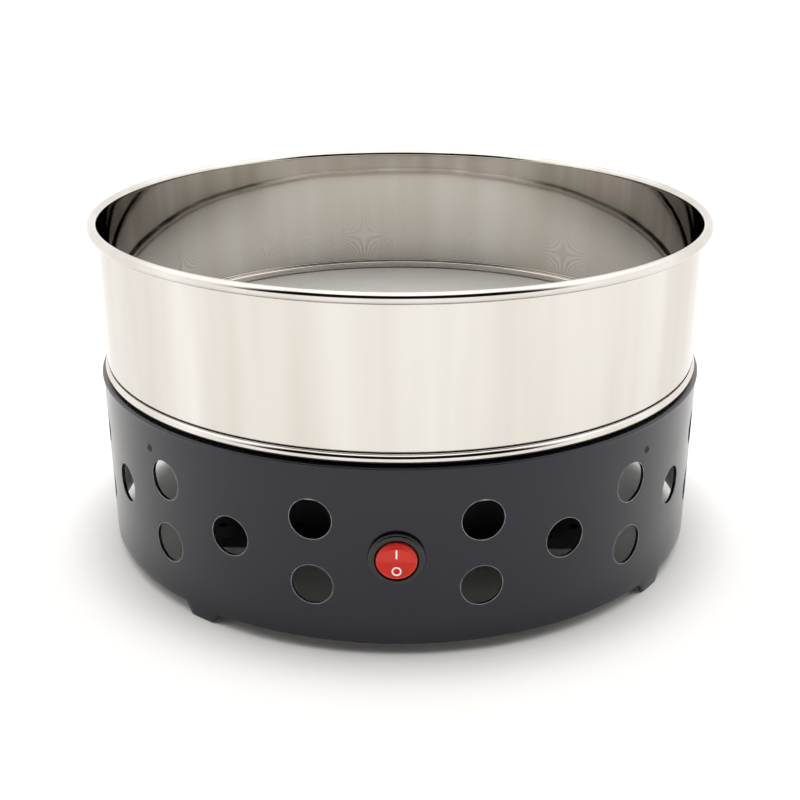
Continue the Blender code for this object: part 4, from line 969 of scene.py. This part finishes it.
FAN_SCREW = (2.4 * MM, 2.0 * MM)  # rise of the head, radius of the shank
DECK_SCREW = (0.5 * MM, 1.2 * MM)
DECK_SCREW_SHANK = 4.4 * MM
DECK_SCREW_PROUD = 0.35 * MM  # of the shell's paint
INLET_SCREW = (1.6 * MM, 1.5 * MM)

for number in range(1, 5):
    name = f"fan_screw_{number}"
    low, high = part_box(name)
    middle = (low + high) / 2
    rise, shank = FAN_SCREW
    shape = screw_shape((high.x - low.x) / 2, rise, shank, high.z - low.z - rise)
    place = Matrix.Translation((middle.x, middle.y, high.z - rise)) @ Matrix.Rotation(number * 1.1, 4, "Z")
    put(name + "_cross", moved(shape, place), zinc, "base", [name])

for number in range(1, 5):
    name = f"deck_screw_{number}"
    low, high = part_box(name)
    middle = (low + high) / 2
    rise, shank = DECK_SCREW
    azimuth = math.atan2(middle.x, -middle.y)
    seat = shell_radius(middle.z) - rise + DECK_SCREW_PROUD
    out = Matrix.Rotation(azimuth, 4, "Z") @ Matrix.Rotation(math.pi / 2, 4, "X")
    place = Matrix.Translation((seat * math.sin(azimuth), -seat * math.cos(azimuth), middle.z))
    shape = screw_shape((high.z - low.z) / 2, rise, shank, DECK_SCREW_SHANK, 32)
    put(name + "_cross", moved(shape, place @ out), blackened, "base", [name])

for number in (1, 2):
    name = f"inlet_screw_{number}"
    low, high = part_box(name)
    rise, shank = INLET_SCREW
    shape = screw_shape(high.x, rise, shank, high.y - low.y - rise, 40)
    place = Matrix.Translation((0, high.y - rise, (low.z + high.z) / 2))
    place = place @ Matrix.Rotation(-math.pi / 2, 4, "X")
    put(name + "_cross", moved(shape, place), blackened, "base", [name])

# %% [markdown]
# ## Finger guard
#
# Four rings of drawn wire are spot-welded onto four legs, and each leg ends in a flattened eye
# under a screw. Wires are tubes, so a circle is carried round each ring and along each leg.

# %% Finger guard
GUARD_WIRE = 2.2 * MM
INNER_RING = 26.0 * MM
OUTER_RING_INSET = 1.0 * MM
EYE_SECTION = (1.15 * MM, 0.9 * MM, 3.45 * MM)  # half its width and height, and its radius
LEG_GAP = 3.5 * MM  # from the screw's middle to the end of the leg
guard_low, guard_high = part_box("finger_guard")
wire_radius = GUARD_WIRE / 2
leg_height = guard_low.z + wire_radius
ring_height = guard_high.z - wire_radius
ring_radii = np.linspace(INNER_RING, duct_radius - OUTER_RING_INSET, 4)
screw_reach = (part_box("fan_screw_4")[0].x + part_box("fan_screw_4")[1].x) / 2
parts = [turned(arc((radius, ring_height), wire_radius, 0, 330, 11), 144) for radius in ring_radii]
eye = rounded(rectangle(*EYE_SECTION), 0.4 * MM)
for quarter in range(4):
    turn = Matrix.Rotation(quarter * math.pi / 2, 4, "Z")
    diagonal = np.array([1.0, 1.0, 0.0]) / math.sqrt(2)
    start = diagonal * (ring_radii[0] - GUARD_WIRE) + [0, 0, leg_height]
    end = diagonal * (screw_reach * math.sqrt(2) - LEG_GAP) + [0, 0, leg_height]
    leg = np.linspace(start, end, 8)
    parts.append(moved(tube(leg, wire_radius, 14), turn))
    parts.append(moved(turned(eye, 40), turn @ Matrix.Translation((screw_reach, screw_reach, leg_height))))
put("wire_guard", joined(*parts), zinc, "base", ["finger_guard"])

# %% [markdown]
# ## Impeller
#
# Seven blades are moulded in one with a hub that fits over the motor's cup. Each blade rises as it
# turns, less steeply at the hub than at the tip, and is thickest half way up.

# %% Impeller
HUB_WALL = 3.0 * MM
HUB_HOLE = 3.0 * MM
BLADES = 7
BLADE_THICKNESS = 2.0 * MM
HUB_TURN, TIP_TURN = 36.0, 24.0
impeller_low, impeller_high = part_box("impeller")
cup_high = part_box("rotor_cup")[1]
cup_radius = cup_high.x + GAP
cup_top = cup_high.z + GAP
hub_radius = cup_radius + HUB_WALL
tip_radius = impeller_high.x
corners = [
    (HUB_HOLE, impeller_high.z), (hub_radius, impeller_high.z), (hub_radius, impeller_low.z),
    (cup_radius, impeller_low.z), (cup_radius, cup_top), (HUB_HOLE, cup_top),
]
hub = turned(rounded(corners, [0.4 * MM, 2.2 * MM, 0.5 * MM, 0.4 * MM, 0.6 * MM, 0.2 * MM], 6), 120)


def blade_shape(first_azimuth, radial=14, chordal=14):
    """Two sheets of points: radius from root to tip one way, height from low to high the other.

    The azimuth is the blade's own plus its turn times the share of the height, less a half, plus a
    bow. The turn goes from HUB_TURN to TIP_TURN. The sheets stand off it by half the thickness.
    """
    share = np.linspace(0, 1, radial)[:, None]
    rise = np.linspace(0, 1, chordal)[None]
    radius = (hub_radius - HUB_WALL / 2) * (1 - share) + tip_radius * share
    turn = np.radians(HUB_TURN + (TIP_TURN - HUB_TURN) * share)
    bow = np.sin(math.pi * rise)
    low, high = impeller_low.z + MM, impeller_high.z - 2 * MM
    sheets = []
    for side in (-0.5, 0.5):
        thickness = BLADE_THICKNESS * (0.5 + 0.8 * bow)
        azimuth = first_azimuth + turn * (rise - 0.5 + 0.1 * bow) + side * thickness / radius
        x, y = radius * np.sin(azimuth), -radius * np.cos(azimuth)
        sheets.append(np.stack([x, y, np.broadcast_to(low + (high - low) * rise, x.shape)], -1))
    return two_sided(*sheets)


blades = [blade_shape(2 * math.pi * number / BLADES) for number in range(BLADES)]
put("bladed_hub", joined(hub, *blades), black_plastic, "rotor", ["impeller"])

# %% [markdown]
# ## Power inlet
#
# The inlet on the back is a standard three-pin socket, stood upright, with two of its corners cut
# off so that a plug fits one way only. Loops of points run from the back of its body over the
# flange and down into the socket.

# %% Power inlet
inlet_low, inlet_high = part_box("inlet_housing")
inlet_level = (inlet_low.z + inlet_high.z) / 2
FLANGE = 3.0 * MM
FLANGE_CORNER = 4.0 * MM
FLANGE_EDGE = 0.8 * MM
MOUTH_EDGE = 0.5 * MM
SOCKET_DEPTH = 17.5 * MM
mouth = inlet_high.y


def upright_loop(width, height, radii, y, steps=6):
    """A rectangle with rounded corners in the plane at y, as a loop of points."""
    flat = rounded(rectangle(width / 2, height / 2), radii, steps)
    return np.column_stack([flat[:, 0], np.full(len(flat), y), flat[:, 1] + inlet_level])


flange_width, flange_height = inlet_high.x * 2, inlet_high.z - inlet_low.z
body_loop = (20.0 * MM, 28.0 * MM, 1.0 * MM)
socket_loop = (16.4 * MM, 24.4 * MM, np.array([1.0, 3.6, 3.6, 1.0]) * MM)
loops = [
    upright_loop(*body_loop, inlet_low.y),
    upright_loop(*body_loop, mouth - FLANGE),
    upright_loop(flange_width, flange_height, FLANGE_CORNER, mouth - FLANGE),
]
for inset, rise in arc((0, 0), FLANGE_EDGE, 0, 90, 5):
    edge = FLANGE_EDGE - inset
    size = (flange_width - 2 * edge, flange_height - 2 * edge, FLANGE_CORNER - edge)
    loops.append(upright_loop(*size, mouth - FLANGE_EDGE + rise))
for inset, rise in arc((0, 0), MOUTH_EDGE, 90, 0, 4):
    spread = 2 * (MOUTH_EDGE - inset)
    width, height, radii = socket_loop
    loops.append(upright_loop(width + spread, height + spread, radii, mouth - MOUTH_EDGE + rise))
loops.append(upright_loop(*socket_loop, mouth - SOCKET_DEPTH))
put("inlet_shroud", lofted(loops), black_plastic, "base", ["inlet_housing"], crease=35)

# %% [markdown]
# ## Castings, wires and what stays as it is
#
# The fan's frame is a black pressure casting with a slightly sandy skin. Wires have smooth rubbery
# insulation. These pieces are already the right shape, so they only get their finishes.

# %% Finishes for the remaining pieces
cast = grained("black painted casting", "#17181A", (0.36, 0.56), 1100.0, 3.0, (0.35, 0.0002))[0]


def insulation(name, colour):
    """Smooth rubbery insulation: faint drawing marks and a soft shine."""
    return grained(name, colour, (0.30, 0.48), 700.0, 2.0)[0]


def finish(finish_material, *nodes):
    """Gives CAD nodes their finish, in every slot that they have."""
    for node in nodes:
        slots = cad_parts[node].data.materials
        for index in range(len(slots)):
            slots[index] = finish_material
    print(f"{finish_material.name}: {len(nodes)} nodes")


finish(cast, "fan_frame")
finish(galvanised, "rotor_cup", "stator_core")
finish(zinc, "motor_shaft", "bearing_lower", "bearing_upper", *[f"fan_nut_{n}" for n in range(1, 5)])
finish(zinc, "inlet_nut_1", "inlet_nut_2")
finish(copper, "winding_lower", "winding_upper")
finish(brass, "inlet_pin_line", "inlet_pin_neutral", "inlet_pin_earth")
finish(brass, "fan_terminal_1", "fan_terminal_2", "switch_terminal_1", "switch_terminal_2")
finish(insulation("brown wire insulation", "#6B3F24"), "wire_line_in", "wire_line_out")
finish(insulation("blue wire insulation", "#2457A8"), "wire_neutral")
finish(insulation("green wire insulation", "#2F8A45"), "wire_earth")

# %% [markdown]
# ## Floor and light
#
# The cooler stands on seamless white paper in a room of soft white light, exposed until the paper
# is almost lost. A mirror-like tray needs something to mirror, so the light is a whole white sky
# rather than a few lamps. The sky is dark in front, where a real studio has its camera and the
# person behind it: that is what draws the dark line along the curled rim.

# %% Floor and light
scene = bpy.context.scene
scene.view_settings.view_transform = "Standard"

paper, tree, shader = grained("seamless white paper", "#F7F6F4", 0.9, 350.0, 3.0, (0.05, 0.0002))

PAPER_GLOW = 0.25
GLOW_START = (0.128, 0.165)  # how far from the cooler's axis the glow begins and is full
# Painted light: the paper glows as if lit from behind, and the glow fades out round where the cooler stands,
# which paints a soft shadow at its foot.
shader.inputs["Emission Color"].default_value = hex_colour("#FFFFFF")
flat = add(tree, "ShaderNodeMapping", {"Vector": place_of(tree), "Scale": (1.0, 1.0, 0.0)})
distance = add(tree, "ShaderNodeVectorMath", {0: flat.outputs[0]}, operation="LENGTH").outputs["Value"]
glow = ramp(tree, distance, GLOW_START, (0.0, PAPER_GLOW), "SMOOTHSTEP")
tree.links.new(glow, shader.inputs["Emission Strength"])

FLOOR_REACH = 8.0
corners = [(x, y, 0) for x, y in rectangle(FLOOR_REACH, FLOOR_REACH)]
floor_mesh = bpy.data.meshes.new("floor")
floor_mesh.from_pydata(corners, [], [(0, 1, 2, 3)])
floor_mesh.materials.append(paper)
floor = bpy.data.objects.new("floor", floor_mesh)
scene.collection.objects.link(floor)

SKY = 1.76
SKY_LOW = 1.36
DARK = 0.01
sky = bpy.data.worlds.new("white room")
scene.world = sky
sky.use_nodes = True
tree = sky.node_tree
background = tree.nodes["Background"]
ways = add(tree, "ShaderNodeSeparateXYZ", {"Vector": add(tree, "ShaderNodeTexCoord").outputs["Generated"]})


def sine(degrees):
    """The sine of an angle in degrees: how far up a direction points that rises by the angle."""
    return math.sin(math.radians(degrees))


# The dark card hangs in front: from 9 to 62 degrees up, and about 60 degrees to each side.
bearing = add(tree, "ShaderNodeMath", {0: ways.outputs["X"], 1: ways.outputs["Y"]}, operation="ARCTAN2")
aside = add(tree, "ShaderNodeMath", {0: bearing.outputs[0]}, operation="ABSOLUTE")
upward = ways.outputs["Z"]
sides = (math.radians(108), math.radians(132))
beyond = ramp(tree, aside.outputs[0], sides, kind="SMOOTHSTEP")
below = ramp(tree, upward, (sine(58), sine(66)), (1.0, 0.0), "SMOOTHSTEP")
above = ramp(tree, upward, (sine(6), sine(12)), kind="SMOOTHSTEP")
band = add(tree, "ShaderNodeMath", {0: below, 1: above}, operation="MULTIPLY")
card = add(tree, "ShaderNodeMath", {0: beyond, 1: band.outputs[0]}, operation="MULTIPLY")
# The walls of the room are a little dimmer than its ceiling.
room = ramp(tree, upward, (sine(25), sine(50)), (SKY_LOW, SKY), "SMOOTHSTEP")
strength = add(tree, "ShaderNodeMapRange", {"Value": card.outputs[0], "To Min": room, "To Max": DARK})
tree.links.new(strength.outputs[0], background.inputs["Strength"])
background.inputs["Color"].default_value = hex_colour("#FFFEFC")
print("sky:", SKY, "low down:", SKY_LOW, "dark card:", DARK)
